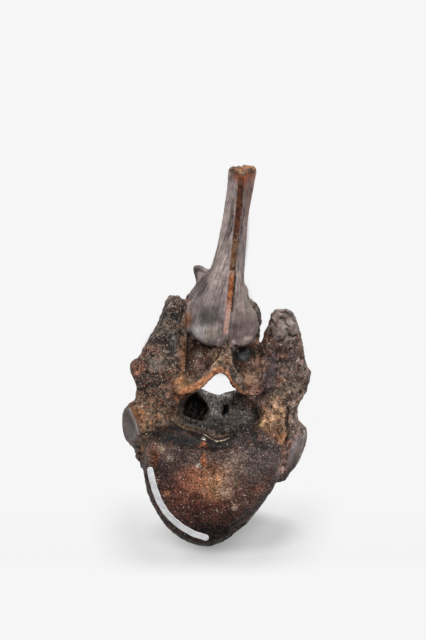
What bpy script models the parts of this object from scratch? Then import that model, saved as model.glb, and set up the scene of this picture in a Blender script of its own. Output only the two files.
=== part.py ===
"""One horse vertebra from the middle of the back, one solid bone, lying on its rear end as it would rest.

Metres. X runs across the body, Y towards the broken top of the spine, and Z up, towards the horse's head.
Sizes below are in millimetres in a working frame with the rear end of the body at Z = 0.
"""

import math

import bmesh
import bpy
import numpy as np
from mathutils import Euler, Matrix, Vector

MM = 0.001
AROUND = 64  # points round each tube
STEP = 1.5  # spacing of rings along a tube
VOXEL = 0.85  # grain of the merged bone
CUT_VOXEL = 1.2  # grain of the merged cutters
SOFT = 9  # smoothing passes over the merged forms, which round the joins
CRISP = 4  # smoothing passes after the hollows are cut
TRIANGLES = 11200  # of the finished bone
RUB = 0.4  # how much is worn off level where the bone touches the floor
ROOM = 300.0  # a block larger than the bone

HEAD_Z = 42.0  # where the rim of the head lies
DOME = 8.2  # how far the head bulges past its rim
HEAD_MID = (-3.0, -58.0)  # widest level of the head
HEAD_SIZE = (26.5, 29.0, 35.3, 18.6)  # left, right, down, up
HEAD_SHAPE = (1.95, 1.5, 2.9, 2.9)  # squareness: lower left, lower right, upper left, upper right
REAR_SIZE = (22.5, 23.5, 29.0, 20.0)
CANAL_MID = (0.9, -36.5)
CANAL_SIZE = (15.4, 15.4, 7.6, 9.4)
PEAK = -21.3  # top of the notch in the front edge of the arch
FOOT_SHAPE = (2.2, 2.2, 1.9, 1.9)  # fuller outline at the foot of the spine
TIP_Y = 56.7  # broken top of the spine
MIDDLE = (0.114, -18.165)  # middle of the finished bone's outline seen from above


def empty_scene():
    """Removes whatever objects the scene starts with."""
    for item in list(bpy.data.objects):
        bpy.data.objects.remove(item, do_unlink=True)


def quarter(angle, left, right, low, high, shape):
    """A point on an outline made of four quarter superellipses."""
    c = math.cos(angle)
    s = math.sin(angle)
    power = 2 / shape[(0 if c < 0 else 1) + (0 if s < 0 else 2)]
    wide = left if c < 0 else right
    tall = low if s < 0 else high
    return math.copysign(abs(c) ** power, c) * wide, math.copysign(abs(s) ** power, s) * tall


def tube(bm, axis, rows, shape):
    """Adds a closed tube along an axis.

    A row is position, centre (two), left, right, low and high size, and may end in its own four shape powers.
    """
    table = np.array([(*row, *shape)[:11] for row in rows], float)
    rings = max(2, round((table[-1, 0] - table[0, 0]) / STEP))
    made = bmesh.ops.create_grid(bm, x_segments=AROUND, y_segments=rings, size=1)["verts"]
    for v in made:
        at = table[0, 0] + (v.co.y + 1) / 2 * (table[-1, 0] - table[0, 0])
        cu, cv, left, right, low, high, *square = (
            np.interp(at, table[:, 0], table[:, k]) for k in range(1, 11)
        )
        du, dv = quarter((v.co.x + 1) * math.pi, left, right, low, high, square)
        if axis == "Z":
            v.co = Vector((cu + du, cv + dv, at))
        else:
            v.co = Vector((cu + du, at, cv + dv))
    bmesh.ops.remove_doubles(bm, verts=made, dist=1e-4)
    made = [v for v in made if v.is_valid]
    edges = {e for v in made for e in v.link_edges if e.is_boundary}
    bmesh.ops.holes_fill(bm, edges=list(edges), sides=0)
    faces = {f for v in made for f in v.link_faces}
    bmesh.ops.recalc_face_normals(bm, faces=list(faces))


def blob(bm, centre, size, turn=(0, 0, 0)):
    """Adds an ellipsoid with three half sizes, turned by degrees."""
    spin = Euler([math.radians(t) for t in turn]).to_matrix().to_4x4()
    place = Matrix.Translation(centre) @ spin @ Matrix.Diagonal((*size, 1))
    bmesh.ops.create_uvsphere(bm, u_segments=32, v_segments=20, radius=1, matrix=place)


def keep(bm, name):
    """Turns a working mesh into an object in the scene."""
    mesh = bpy.data.meshes.new(name)
    bm.to_mesh(mesh)
    bm.free()
    item = bpy.data.objects.new(name, mesh)
    bpy.context.collection.objects.link(item)
    return item


def modifier(item, kind, **settings):
    """Adds one modifier with its settings."""
    made = item.modifiers.new(kind.lower(), kind)
    for key, value in settings.items():
        setattr(made, key, value)
    return made


def bake(item):
    """Applies every modifier of an object."""
    bpy.context.view_layer.update()
    graph = bpy.context.evaluated_depsgraph_get()
    mesh = bpy.data.meshes.new_from_object(item.evaluated_get(graph), depsgraph=graph)
    item.modifiers.clear()
    item.data = mesh


def merge(item, voxel, passes):
    """Joins overlapping closed forms into one skin and rounds the joins."""
    modifier(item, "REMESH", mode="VOXEL", voxel_size=voxel)
    if passes:
        modifier(item, "SMOOTH", factor=0.5, iterations=passes)
    bake(item)


def largest(item):
    """Keeps the largest closed surface."""
    bm = bmesh.new()
    bm.from_mesh(item.data)
    left = set(bm.verts)
    groups = []
    while left:
        edge = [left.pop()]
        group = set(edge)
        while edge:
            for link in edge.pop().link_edges:
                for v in link.verts:
                    if v in left:
                        left.discard(v)
                        group.add(v)
                        edge.append(v)
        groups.append(group)
    groups.sort(key=len)
    for group in groups[:-1]:
        bmesh.ops.delete(bm, geom=list(group), context="VERTS")
    bm.to_mesh(item.data)
    bm.free()


def cut(item, cutter):
    """Cuts one closed object out of another and removes the cutter."""
    modifier(item, "BOOLEAN", operation="DIFFERENCE", solver="EXACT", object=cutter)
    bake(item)
    bpy.data.objects.remove(cutter)


def scaled(sizes, share):
    """All four half sizes times a share."""
    return tuple(s * share for s in sizes)


def body(bm):
    """The drum of the vertebra: a bulging head in front, a waist with a keel, and a wide rear end."""
    rows = [
        (0.0, -1.0, -59.5, *scaled(REAR_SIZE, 0.95)),
        (1.5, -1.0, -59.5, *REAR_SIZE),
        (5.0, -1.0, -59.0, *scaled(REAR_SIZE, 1.0)),
        (10.0, -1.5, -58.0, 19.5, 20.5, 25.0, 17.0),
        (19.0, -2.0, -57.0, 17.0, 18.0, 21.0, 15.0),
        (26.0, -2.5, -57.0, 19.0, 20.0, 25.0, 16.0),
        (34.0, -3.0, -58.0, *scaled(HEAD_SIZE, 0.93)),
        (39.5, *HEAD_MID, *scaled(HEAD_SIZE, 0.995)),
        (HEAD_Z, *HEAD_MID, *HEAD_SIZE),
    ]
    for k in range(1, 10):
        lift = math.sin(math.radians(k * 10))
        share = math.cos(math.radians(k * 10)) ** 0.75
        rows.append((HEAD_Z + DOME * lift, *HEAD_MID, *scaled(HEAD_SIZE, share)))
    tube(bm, "Z", rows, HEAD_SHAPE)


def rib_seats(bm):
    """The swellings that carry the joint faces for the ribs, two in front and two behind."""
    blob(bm, (-29.6, -44.0, 32.0), (9.0, 11.0, 8.8), (0, 0, 13))
    blob(bm, (-27.1, -55.0, 35.5), (5.7, 8.8, 6.1), (0, 0, 16))
    blob(bm, (28.4, -53.2, 32.5), (8.5, 12.3, 8.4), (0, 0, -19))
    blob(bm, (25.8, -60.0, 35.2), (5.7, 8.2, 5.8), (0, 0, -20))
    blob(bm, (-20.5, -49.0, 6.0), (7.0, 9.5, 5.8), (0, 0, 10))
    blob(bm, (21.5, -50.0, 6.0), (7.0, 9.5, 5.8), (0, 0, -10))


def columns(bm):
    """The walls of the canal, which run up into the knobbly side processes."""
    left = [
        (-50.0, -23.0, 27.0, 8.0, 8.0, 9.0, 9.0),
        (-44.0, -24.0, 27.0, 8.5, 9.4, 11.0, 10.0),
        (-37.0, -24.0, 27.0, 9.0, 9.4, 11.0, 9.5),
        (-31.0, -23.0, 26.0, 9.3, 8.6, 10.5, 9.5),
        (-25.0, -23.0, 25.0, 10.6, 9.6, 10.0, 7.5),
        (-19.0, -22.0, 24.0, 9.7, 9.4, 9.5, 6.5),
        (-12.0, -20.6, 22.0, 7.5, 8.4, 9.0, 6.5),
        (-6.0, -18.6, 21.0, 5.7, 6.8, 8.0, 6.0),
        (-1.0, -17.2, 20.0, 4.9, 5.2, 6.0, 5.2),
        (3.2, -16.7, 20.0, 4.2, 4.2, 5.0, 4.8),
        (6.8, -16.7, 20.0, 2.6, 2.6, 3.2, 3.2),
    ]
    tube(bm, "Y", left, (2.4, 2.4, 2.4, 2.4))
    right = [
        (-52.0, 24.0, 27.0, 8.0, 8.0, 9.0, 9.0),
        (-44.0, 25.2, 27.0, 8.4, 7.8, 11.0, 9.5),
        (-37.0, 25.4, 27.0, 8.6, 7.8, 11.0, 9.5),
        (-31.0, 26.4, 26.0, 8.8, 10.6, 10.5, 8.5),
        (-25.0, 27.2, 25.0, 9.0, 10.2, 10.0, 7.0),
        (-17.0, 27.2, 23.0, 9.9, 8.8, 9.5, 6.5),
        (-12.0, 27.0, 22.0, 9.1, 8.2, 8.5, 6.2),
        (-6.5, 27.0, 21.0, 7.0, 6.9, 7.5, 5.8),
        (-2.5, 27.0, 20.0, 5.4, 5.6, 5.8, 5.0),
        (0.8, 27.6, 20.0, 2.6, 3.2, 3.6, 3.4),
    ]
    tube(bm, "Y", right, (2.4, 2.4, 2.4, 2.4))
    blob(bm, (-30.4, -22.4, 24.5), (5.0, 4.2, 6.5))
    blob(bm, (33.7, -25.4, 24.5), (5.0, 5.2, 7.0))


def arch(bm):
    """The roof of the canal, and behind it the pair of processes that reach over the next bone."""
    rows = [
        (5.0, 2.0, -21.0, 12.0, 13.0, 4.0, 5.0),
        (12.0, 1.0, -20.0, 16.0, 18.0, 8.0, 8.0),
        (22.0, 1.0, -21.0, 19.0, 21.0, 10.0, 11.0),
        (28.0, 0.5, -23.0, 19.0, 21.0, 9.0, 9.0),
        (33.0, 0.0, -25.5, 18.0, 20.0, 7.0, 5.6),
        (35.5, 0.0, -27.0, 17.0, 19.0, 5.0, 3.2),
    ]
    tube(bm, "Z", rows, (2.6, 2.6, 2.6, 2.6))
    left = [
        (-23.0, -9.5, 5.0, 2.5, 2.5, 2.0, 2.0),
        (-21.0, -9.5, 5.0, 5.6, 5.4, 3.8, 5.0),
        (-18.5, -9.4, 5.5, 6.4, 6.6, 5.0, 8.0),
        (-12.0, -8.0, 7.5, 5.2, 6.0, 5.4, 8.0),
        (-3.0, -7.2, 8.5, 6.2, 6.0, 5.8, 7.0),
        (3.5, -6.6, 8.5, 5.6, 5.0, 5.0, 6.0),
        (8.4, -4.6, 8.5, 3.6, 3.5, 2.8, 4.0),
    ]
    tube(bm, "Y", left, (2.0, 2.0, 2.0, 2.0))
    right = [
        (-23.0, 12.0, 5.0, 2.5, 2.5, 2.0, 2.0),
        (-21.0, 12.0, 5.0, 5.4, 5.6, 3.8, 5.0),
        (-18.5, 11.8, 5.5, 6.6, 6.4, 5.0, 8.0),
        (-12.0, 11.5, 7.5, 6.0, 6.6, 5.4, 8.0),
        (-6.0, 11.5, 8.5, 6.0, 7.6, 5.8, 7.0),
        (-1.5, 11.0, 8.5, 5.0, 7.2, 5.0, 6.0),
        (2.2, 10.0, 8.5, 3.0, 4.4, 2.8, 4.0),
    ]
    tube(bm, "Y", right, (2.0, 2.0, 2.0, 2.0))


def spine(bm):
    """The tall broken spine: a sharp front edge, two swollen lobes at its foot, and a splintered lip behind."""
    rows = [
        (-14.0, 4.0, 13.0, 12.0, 10.0, 7.0, 6.0, *FOOT_SHAPE),
        (-8.0, 4.6, 14.0, 14.0, 11.0, 8.0, 10.8, *FOOT_SHAPE),
        (-2.0, 5.2, 14.0, 15.2, 9.8, 9.0, 12.0, *FOOT_SHAPE),
        (5.0, 5.8, 13.0, 12.8, 6.2, 8.0, 11.8, 2.3, 2.3, 1.3, 1.3),
        (12.0, 6.5, 12.0, 10.0, 5.0, 7.5, 11.2),
        (24.0, 8.0, 10.0, 7.8, 4.3, 6.5, 10.2),
        (36.0, 9.5, 8.5, 7.0, 3.5, 6.2, 9.2),
        (48.0, 10.5, 7.2, 6.2, 4.7, 6.2, 8.5),
        (TIP_Y, 11.0, 6.4, 6.2, 5.8, 6.6, 8.0),
    ]
    tube(bm, "Y", rows, (2.3, 2.3, 1.12, 1.12))
    blob(bm, (-13.0, -5.0, 15.0), (4.5, 9.0, 5.5))
    lip = [
        (2.0, -4.5, 8.5, 4.1, 4.0, 3.4, 3.4),
        (9.0, -4.2, 8.2, 3.9, 3.8, 2.8, 2.8),
        (12.8, -4.4, 8.0, 4.8, 3.4, 2.5, 2.5),
        (16.4, -7.4, 8.0, 2.7, 1.7, 1.8, 1.8),
    ]
    tube(bm, "Y", lip, (2.6, 2.6, 2.6, 2.6))
    blob(bm, (11.8, 5.4, 9.0), (1.8, 3.0, 2.8))


def front_of_spine(bm):
    """The two skirts at the foot that overhang the cups, and the sharp median edge above and between them."""
    left = [
        (-14.2, -1.0, 18.5, 2.0, 1.6, 3.0, 3.6),
        (-13.0, -1.6, 18.0, 4.4, 3.0, 4.0, 6.2),
        (-10.5, -2.6, 17.5, 7.0, 4.8, 5.0, 7.5),
        (-7.0, -3.0, 17.0, 8.6, 6.2, 6.0, 8.0),
        (-2.0, -2.8, 16.5, 9.0, 6.8, 6.0, 8.0),
        (3.0, -2.0, 16.5, 8.6, 6.4, 6.0, 7.2),
        (9.0, 0.0, 16.0, 6.8, 5.6, 5.0, 5.6),
        (16.0, 2.6, 15.5, 4.4, 4.2, 4.0, 4.0),
        (22.0, 4.4, 15.0, 2.2, 2.4, 3.0, 2.4),
    ]
    tube(bm, "Y", left, (2.2, 2.2, 2.3, 2.3))
    right = [
        (-14.4, 9.8, 18.5, 2.0, 2.2, 3.0, 3.6),
        (-13.2, 10.2, 18.0, 3.6, 4.0, 4.0, 6.2),
        (-10.5, 10.8, 17.5, 4.8, 6.0, 5.0, 7.4),
        (-7.0, 10.9, 17.0, 5.2, 6.6, 6.0, 7.6),
        (-2.0, 10.6, 16.5, 5.4, 6.0, 6.0, 7.4),
        (3.0, 9.6, 16.5, 4.8, 3.6, 6.0, 6.6),
        (9.0, 8.8, 16.0, 4.0, 2.8, 5.0, 5.4),
        (16.0, 8.4, 15.5, 3.0, 2.6, 4.0, 3.8),
    ]
    tube(bm, "Y", right, (2.2, 2.2, 2.3, 2.3))
    rows = [
        (-22.0, 1.0, 28.0, 3.6, 3.6, 3.0, 3.6),
        (-17.0, 2.4, 26.0, 3.2, 3.2, 4.0, 3.4),
        (-12.0, 3.8, 24.0, 2.4, 2.4, 4.0, 3.2),
        (-8.0, 4.8, 24.2, 1.6, 1.6, 3.0, 2.4),
        (0.0, 5.3, 24.2, 1.1, 1.1, 3.0, 1.8),
        (12.0, 6.5, 21.6, 1.0, 1.0, 3.0, 1.7),
        (24.0, 8.0, 18.8, 1.0, 1.0, 3.0, 1.5),
        (36.0, 9.5, 16.4, 1.0, 1.0, 3.0, 1.4),
        (48.0, 10.5, 14.4, 1.0, 1.0, 3.0, 1.4),
        (TIP_Y - 0.6, 11.0, 13.2, 1.2, 1.2, 3.0, 1.2),
    ]
    tube(bm, "Y", rows, (2.0, 2.0, 1.3, 1.3))


def hollows(bm):
    """Everything cut away: canal, notch, cups, rib joint faces, rear hollow and the pits in the canal floor."""
    canal = [
        (-6.0, 1.2, -36.0, 10.5, 10.8, 6.5, 9.2),
        (4.0, 1.2, -36.0, 11.0, 11.4, 6.5, 9.2),
        (9.0, *CANAL_MID, 14.5, 15.0, 7.6, 9.4),
        (36.0, *CANAL_MID, *CANAL_SIZE),
        (43.0, *CANAL_MID, 17.0, 17.2, 8.8, 10.0),
        (60.0, 0.0, -36.5, 20.0, 20.0, 9.4, 14.0),
    ]
    tube(bm, "Z", canal, (1.45, 1.45, 2.3, 1.8))
    notch = [
        (14.0, 1.4, -29.0, 4.0, 3.4, 4.0, 3.0),
        (32.0, 1.4, -29.0, 7.7, 5.9, 4.0, PEAK + 29.0),
        (44.0, 1.4, -29.0, 12.0, 9.0, 4.0, PEAK + 32.0),
    ]
    tube(bm, "Z", notch, (2.0, 2.0, 1.15, 1.8))
    blob(bm, (-6.3, -13.4, 29.0), (5.5, 10.6, 12.0), (4, 0, -16))
    blob(bm, (12.8, -14.6, 29.0), (5.8, 9.6, 12.5), (4, 0, 10))
    blob(bm, (15.2, -20.4, 34.5), (4.9, 5.8, 6.5), (0, 0, 12))
    blob(bm, (-8.4, -43.0, 18.5), (5.0, 8.4, 13.0))
    blob(bm, (10.9, -41.6, 19.5), (8.0, 6.6, 14.0))
    blob(bm, (-47.5, -41.5, 44.0), (16.5, 16.5, 16.5))
    blob(bm, (48.5, -59.5, 45.0), (19.5, 19.5, 19.5))
    blob(bm, (-33.5, -49.0, -5.5), (14.0, 14.0, 14.0))
    blob(bm, (34.8, -51.0, -5.5), (14.0, 14.0, 14.0))
    blob(bm, (-0.6, -61.0, -21.0), (28.0, 27.0, 26.5))


def ground():
    """A block up to the level where the bone rests, which leaves small flats on the rear rim and the spine."""
    bm = bmesh.new()
    middle = Vector((0, 0, RUB - ROOM / 2))
    bmesh.ops.create_cube(bm, size=ROOM, matrix=Matrix.Translation(middle))
    return keep(bm, "ground")


def settle(item):
    """Turns millimetres into metres, with the middle of the bone's outline over the origin and its flats at 0."""
    shift = Matrix.Translation((-MIDDLE[0], -MIDDLE[1], -RUB))
    item.data.transform(Matrix.Scale(MM, 4) @ shift)


def aged_bone():
    """Dark brown, slightly polished old bone."""
    paint = bpy.data.materials.new("aged_bone")
    paint.use_nodes = True
    shader = paint.node_tree.nodes["Principled BSDF"]
    shader.inputs["Base Color"].default_value = (0.09, 0.06, 0.045, 1)
    shader.inputs["Roughness"].default_value = 0.6
    return paint


def main():
    """Builds the bone."""
    empty_scene()
    forms = bmesh.new()
    body(forms)
    rib_seats(forms)
    columns(forms)
    arch(forms)
    spine(forms)
    bone = keep(forms, "vertebra")
    merge(bone, VOXEL, SOFT)

    forms = bmesh.new()
    hollows(forms)
    cutter = keep(forms, "hollows")
    merge(cutter, CUT_VOXEL, 1)
    cut(bone, cutter)

    forms = bmesh.new()
    forms.from_mesh(bone.data)
    front_of_spine(forms)
    forms.to_mesh(bone.data)
    forms.free()
    merge(bone, VOXEL, CRISP)
    largest(bone)

    modifier(bone, "TRIANGULATE")
    bake(bone)
    modifier(bone, "DECIMATE", ratio=TRIANGLES / len(bone.data.polygons))
    bake(bone)

    cut(bone, ground())
    largest(bone)
    settle(bone)
    bone.data.materials.clear()
    bone.data.materials.append(aged_bone())
    bone.data.shade_smooth()


main()
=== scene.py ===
import math

import bmesh
import bpy
import numpy as np
from mathutils import Euler, Matrix, Vector, noise
from mathutils.bvhtree import BVHTree


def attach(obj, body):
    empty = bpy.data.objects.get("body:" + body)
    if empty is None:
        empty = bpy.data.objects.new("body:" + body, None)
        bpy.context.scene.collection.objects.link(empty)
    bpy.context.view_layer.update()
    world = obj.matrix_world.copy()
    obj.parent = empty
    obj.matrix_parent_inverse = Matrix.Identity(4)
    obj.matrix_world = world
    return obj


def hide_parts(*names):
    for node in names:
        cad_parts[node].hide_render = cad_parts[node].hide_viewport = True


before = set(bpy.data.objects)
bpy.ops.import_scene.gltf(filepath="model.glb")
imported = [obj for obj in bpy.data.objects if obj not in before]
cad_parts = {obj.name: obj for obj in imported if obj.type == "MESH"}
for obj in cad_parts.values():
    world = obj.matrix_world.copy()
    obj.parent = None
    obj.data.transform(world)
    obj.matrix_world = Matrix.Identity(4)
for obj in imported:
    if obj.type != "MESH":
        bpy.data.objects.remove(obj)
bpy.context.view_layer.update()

AROUND = 64
STEP = 1.5
BALL_AROUND = 32
BALL_RINGS = 20
CAST_VOXEL = 0.85
CAST_PASSES = 9
HEAD_Z = 42.0
DOME = 8.2
DOME_BULGE = 0.75
DOME_STEPS = 9
HEAD_MID = (-3.0, -58.0)
HEAD_SIZE = (26.5, 29.0, 35.3, 18.6)
HEAD_SHAPE = (1.95, 1.5, 2.9, 2.9)
REAR_SIZE = (22.5, 23.5, 29.0, 20.0)
WALL_SHAPE = (2.4, 2.4, 2.4, 2.4)
ROOF_SHAPE = (2.6, 2.6, 2.6, 2.6)
ROUND_SHAPE = (2.0, 2.0, 2.0, 2.0)
SPINE_SHAPE = (2.3, 2.3, 1.12, 1.12)
FOOT_SHAPE = (2.2, 2.2, 1.9, 1.9)
TIP_Y = 56.7


def quarter(angle, left, right, low, high, shape):
    """A point on an outline made of four quarter superellipses."""
    c = math.cos(angle)
    s = math.sin(angle)
    power = 2 / shape[(0 if c < 0 else 1) + (0 if s < 0 else 2)]
    wide = left if c < 0 else right
    tall = low if s < 0 else high
    return math.copysign(abs(c) ** power, c) * wide, math.copysign(abs(s) ** power, s) * tall


def tube(bm, axis, rows, shape):
    """A closed tube along an axis. A row is its place on the axis, its centre (two), the half sizes left, right,
    low and high, and four powers where it has its own."""
    table = np.array([(*row, *shape)[:11] for row in rows], float)
    rings = max(2, round((table[-1, 0] - table[0, 0]) / STEP))
    made = bmesh.ops.create_grid(bm, x_segments=AROUND, y_segments=rings, size=1)["verts"]
    for v in made:
        at = table[0, 0] + (v.co.y + 1) / 2 * (table[-1, 0] - table[0, 0])
        cu, cv, left, right, low, high, *square = (
            np.interp(at, table[:, 0], table[:, k]) for k in range(1, 11)
        )
        du, dv = quarter((v.co.x + 1) * math.pi, left, right, low, high, square)
        v.co = Vector((cu + du, cv + dv, at)) if axis == "Z" else Vector((cu + du, at, cv + dv))
    bmesh.ops.remove_doubles(bm, verts=made, dist=1e-4)
    made = [v for v in made if v.is_valid]
    edges = {e for v in made for e in v.link_edges if e.is_boundary}
    bmesh.ops.holes_fill(bm, edges=list(edges), sides=0)
    bmesh.ops.recalc_face_normals(bm, faces=list({f for v in made for f in v.link_faces}))


def ball(bm, centre, size, turn=(0, 0, 0)):
    """An ellipsoid with three half sizes, turned by degrees."""
    spin = Euler([math.radians(t) for t in turn]).to_matrix().to_4x4()
    place = Matrix.Translation(centre) @ spin @ Matrix.Diagonal((*size, 1))
    bmesh.ops.create_uvsphere(bm, u_segments=BALL_AROUND, v_segments=BALL_RINGS, radius=1, matrix=place)


def keep(bm, name):
    """Turns a working mesh into an object in the scene."""
    mesh = bpy.data.meshes.new(name)
    bm.to_mesh(mesh)
    bm.free()
    item = bpy.data.objects.new(name, mesh)
    bpy.context.scene.collection.objects.link(item)
    return item


def worked(item, *steps):
    """Adds modifiers, each a kind and its settings, and applies them."""
    for kind, settings in steps:
        made = item.modifiers.new(kind.lower(), kind)
        for key, value in settings.items():
            setattr(made, key, value)
    bpy.context.view_layer.update()
    graph = bpy.context.evaluated_depsgraph_get()
    mesh = bpy.data.meshes.new_from_object(item.evaluated_get(graph), depsgraph=graph)
    item.modifiers.clear()
    item.data = mesh


def fused(item, voxel, passes):
    """Joins overlapping closed forms into one skin and rounds the joins."""
    worked(
        item,
        ("REMESH", {"mode": "VOXEL", "voxel_size": voxel}),
        ("SMOOTH", {"factor": 0.5, "iterations": passes}),
    )


def scaled(sizes, share):
    """All four half sizes times a share."""
    return tuple(s * share for s in sizes)


forms = bmesh.new()
drum = [
    (0, -1, -59.5, *scaled(REAR_SIZE, 0.95)),
    (1.5, -1, -59.5, *REAR_SIZE),
    (5, -1, -59, *REAR_SIZE),
    (10, -1.5, -58, 19.5, 20.5, 25, 17),
    (19, -2, -57, 17, 18, 21, 15),
    (26, -2.5, -57, 19, 20, 25, 16),
    (34, -3, -58, *scaled(HEAD_SIZE, 0.93)),
    (39.5, *HEAD_MID, *scaled(HEAD_SIZE, 0.995)),
    (HEAD_Z, *HEAD_MID, *HEAD_SIZE),
]
for k in range(1, DOME_STEPS + 1):
    climb = math.radians(90 * k / DOME_STEPS)
    drum.append((HEAD_Z + DOME * math.sin(climb), *HEAD_MID, *scaled(HEAD_SIZE, math.cos(climb) ** DOME_BULGE)))
tube(forms, "Z", drum, HEAD_SHAPE)

rib_seats = [
    ((-29.6, -44, 32), (9, 11, 8.8), (0, 0, 13)),
    ((-27.1, -55, 35.5), (5.7, 8.8, 6.1), (0, 0, 16)),
    ((28.4, -53.2, 32.5), (8.5, 12.3, 8.4), (0, 0, -19)),
    ((25.8, -60, 35.2), (5.7, 8.2, 5.8), (0, 0, -20)),
    ((-20.5, -49, 6), (7, 9.5, 5.8), (0, 0, 10)),
    ((21.5, -50, 6), (7, 9.5, 5.8), (0, 0, -10)),
]
for seat in rib_seats:
    ball(forms, *seat)

left_wall = [
    (-50, -23, 27, 8, 8, 9, 9),
    (-44, -24, 27, 8.5, 9.4, 11, 10),
    (-37, -24, 27, 9, 9.4, 11, 9.5),
    (-31, -23, 26, 9.3, 8.6, 10.5, 9.5),
    (-25, -23, 25, 10.6, 9.6, 10, 7.5),
    (-19, -22, 24, 9.7, 9.4, 9.5, 6.5),
    (-12, -20.6, 22, 7.5, 8.4, 9, 6.5),
    (-6, -18.6, 21, 5.7, 6.8, 8, 6),
    (-1, -17.2, 20, 4.9, 5.2, 6, 5.2),
    (3.2, -16.7, 20, 4.2, 4.2, 5, 4.8),
    (6.8, -16.7, 20, 2.6, 2.6, 3.2, 3.2),
]
tube(forms, "Y", left_wall, WALL_SHAPE)
right_wall = [
    (-52, 24, 27, 8, 8, 9, 9),
    (-44, 25.2, 27, 8.4, 7.8, 11, 9.5),
    (-37, 25.4, 27, 8.6, 7.8, 11, 9.5),
    (-31, 26.4, 26, 8.8, 10.6, 10.5, 8.5),
    (-25, 27.2, 25, 9, 10.2, 10, 7),
    (-17, 27.2, 23, 9.9, 8.8, 9.5, 6.5),
    (-12, 27, 22, 8.4, 8.2, 8.5, 6.2),
    (-6.5, 27, 21, 6.2, 6.9, 7.5, 5.8),
    (-2.5, 27, 20, 5.4, 5.6, 5.8, 5),
    (0.8, 27.2, 20, 3.8, 3.4, 3.6, 3.4),
]
tube(forms, "Y", right_wall, WALL_SHAPE)
ball(forms, (-30.4, -22.4, 24.5), (5.0, 4.2, 6.5))
ball(forms, (33.7, -25.4, 24.5), (5.0, 5.2, 7.0))

roof = [
    (5, 2, -21, 12, 13, 4, 5),
    (12, 1, -20, 16, 18, 8, 8),
    (22, 1, -21, 19, 21, 10, 11),
    (28, 0.5, -23, 19, 21, 9, 9),
    (33, 0, -25.5, 18, 20, 7, 5.6),
    (35.5, 0, -27, 17, 19, 5, 3.2),
]
tube(forms, "Z", roof, ROOF_SHAPE)
left_ear = [
    (-23, -9.5, 5, 2.5, 2.5, 2, 2),
    (-21, -9.5, 5, 5.6, 5.4, 3.8, 5),
    (-18.5, -9.4, 5.5, 6.4, 6.6, 5, 8),
    (-12, -8, 7.5, 5.2, 6, 5.4, 8),
    (-3, -7.2, 8.5, 6.2, 6, 5.8, 7),
    (3.5, -6.6, 8.5, 5.6, 5, 5, 6),
    (8.4, -4.6, 8.5, 3.6, 3.5, 2.8, 4),
]
tube(forms, "Y", left_ear, ROUND_SHAPE)
right_ear = [
    (-23, 12, 5, 2.5, 2.5, 2, 2),
    (-21, 12, 5, 5.4, 5.6, 3.8, 5),
    (-18.5, 11.8, 5.5, 6.6, 6.4, 5, 8),
    (-12, 11.5, 7.5, 6, 6.6, 5.4, 8),
    (-6, 11.5, 8.5, 6, 7.6, 5.8, 7),
    (-1.5, 11, 8.5, 5, 7.2, 5, 6),
    (2.2, 10, 8.5, 3, 4.4, 2.8, 4),
]
tube(forms, "Y", right_ear, ROUND_SHAPE)

spine = [
    (-14, 4, 13, 12, 10, 7, 6, *FOOT_SHAPE),
    (-8, 4.6, 14, 14, 11, 8, 10.8, *FOOT_SHAPE),
    (-2, 5.2, 14, 15.2, 9.8, 9, 12, *FOOT_SHAPE),
    (5, 5.8, 13, 12.8, 6.2, 8, 11.8, 2.3, 2.3, 1.3, 1.3),
    (12, 6.5, 12, 10, 5, 7.5, 11.2),
    (24, 8, 10, 7.8, 4.3, 6.5, 10.2),
    (36, 9.5, 8.5, 7, 3.5, 6.2, 9.2),
    (48, 10.5, 7.2, 6.2, 4.7, 6.2, 8.5),
    (TIP_Y, 11, 6.4, 6.2, 5.8, 6.6, 8),
]
tube(forms, "Y", spine, SPINE_SHAPE)
ball(forms, (-13.0, -5.0, 15.0), (4.5, 9.0, 5.5))
lip = [
    (2, -4.5, 8.5, 4.1, 4, 3.4, 3.4),
    (9, -4.2, 8.2, 3.9, 3.8, 2.8, 2.8),
    (12.8, -4.4, 8, 4.8, 3.4, 2.5, 2.5),
    (16.4, -7.4, 8, 2.7, 1.7, 1.8, 1.8),
]
tube(forms, "Y", lip, ROOF_SHAPE)
ball(forms, (11.8, 5.4, 9.0), (1.8, 3.0, 2.8))
bone = keep(forms, "aged_vertebra")
fused(bone, CAST_VOXEL, CAST_PASSES)

# What is missing from the solid: the canal and the notch in its roof, the two cups under the spine's skirts, the
# dished joint faces for the ribs, the rear hollow and two pits in the canal's floor. The skirts and the sharp
# front edge of the spine come after, because they overhang the cups.
CUT_VOXEL = 1.2
CUT_PASSES = 1
FINE_VOXEL = 0.6
FINE_PASSES = 7
CANAL_MID = (0.9, -36.5)
CANAL_SIZE = (15.4, 15.4, 7.6, 9.4)
CANAL_SHAPE = (1.45, 1.45, 2.3, 1.8)
NOTCH_SHAPE = (2.0, 2.0, 1.15, 1.8)
NOTCH_PEAK = -21.3
SKIRT_SHAPE = (2.2, 2.2, 2.3, 2.3)
FRONT_SHAPE = (2.0, 2.0, 1.3, 1.3)
CUPS = [
    ((-6.3, -13.4, 29), (5.5, 10.6, 12), (4, 0, -16)),
    ((12.8, -14.6, 29), (5.8, 9.6, 12.5), (4, 0, 10)),
    ((15.2, -20.4, 34.5), (4.9, 5.8, 6.5), (0, 0, 12)),
    ((0.5, -12.4, 27.5), (2.5, 5.6, 6), (0, 0, -24)),
]
PITS = [((-8.4, -43.0, 18.5), (5.0, 8.4, 13.0)), ((10.9, -41.6, 19.5), (8.0, 6.6, 14.0))]
JOINT_FACES = [
    ((-47.5, -41.5, 44), 16.5),
    ((48.5, -59.5, 45), 19.5),
    ((-33.5, -49, -5.5), 14),
    ((34.8, -51, -5.5), 14),
]
REAR_HOLLOW = ((-0.6, -61.0, -21.0), (28.0, 27.0, 26.5))


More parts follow.
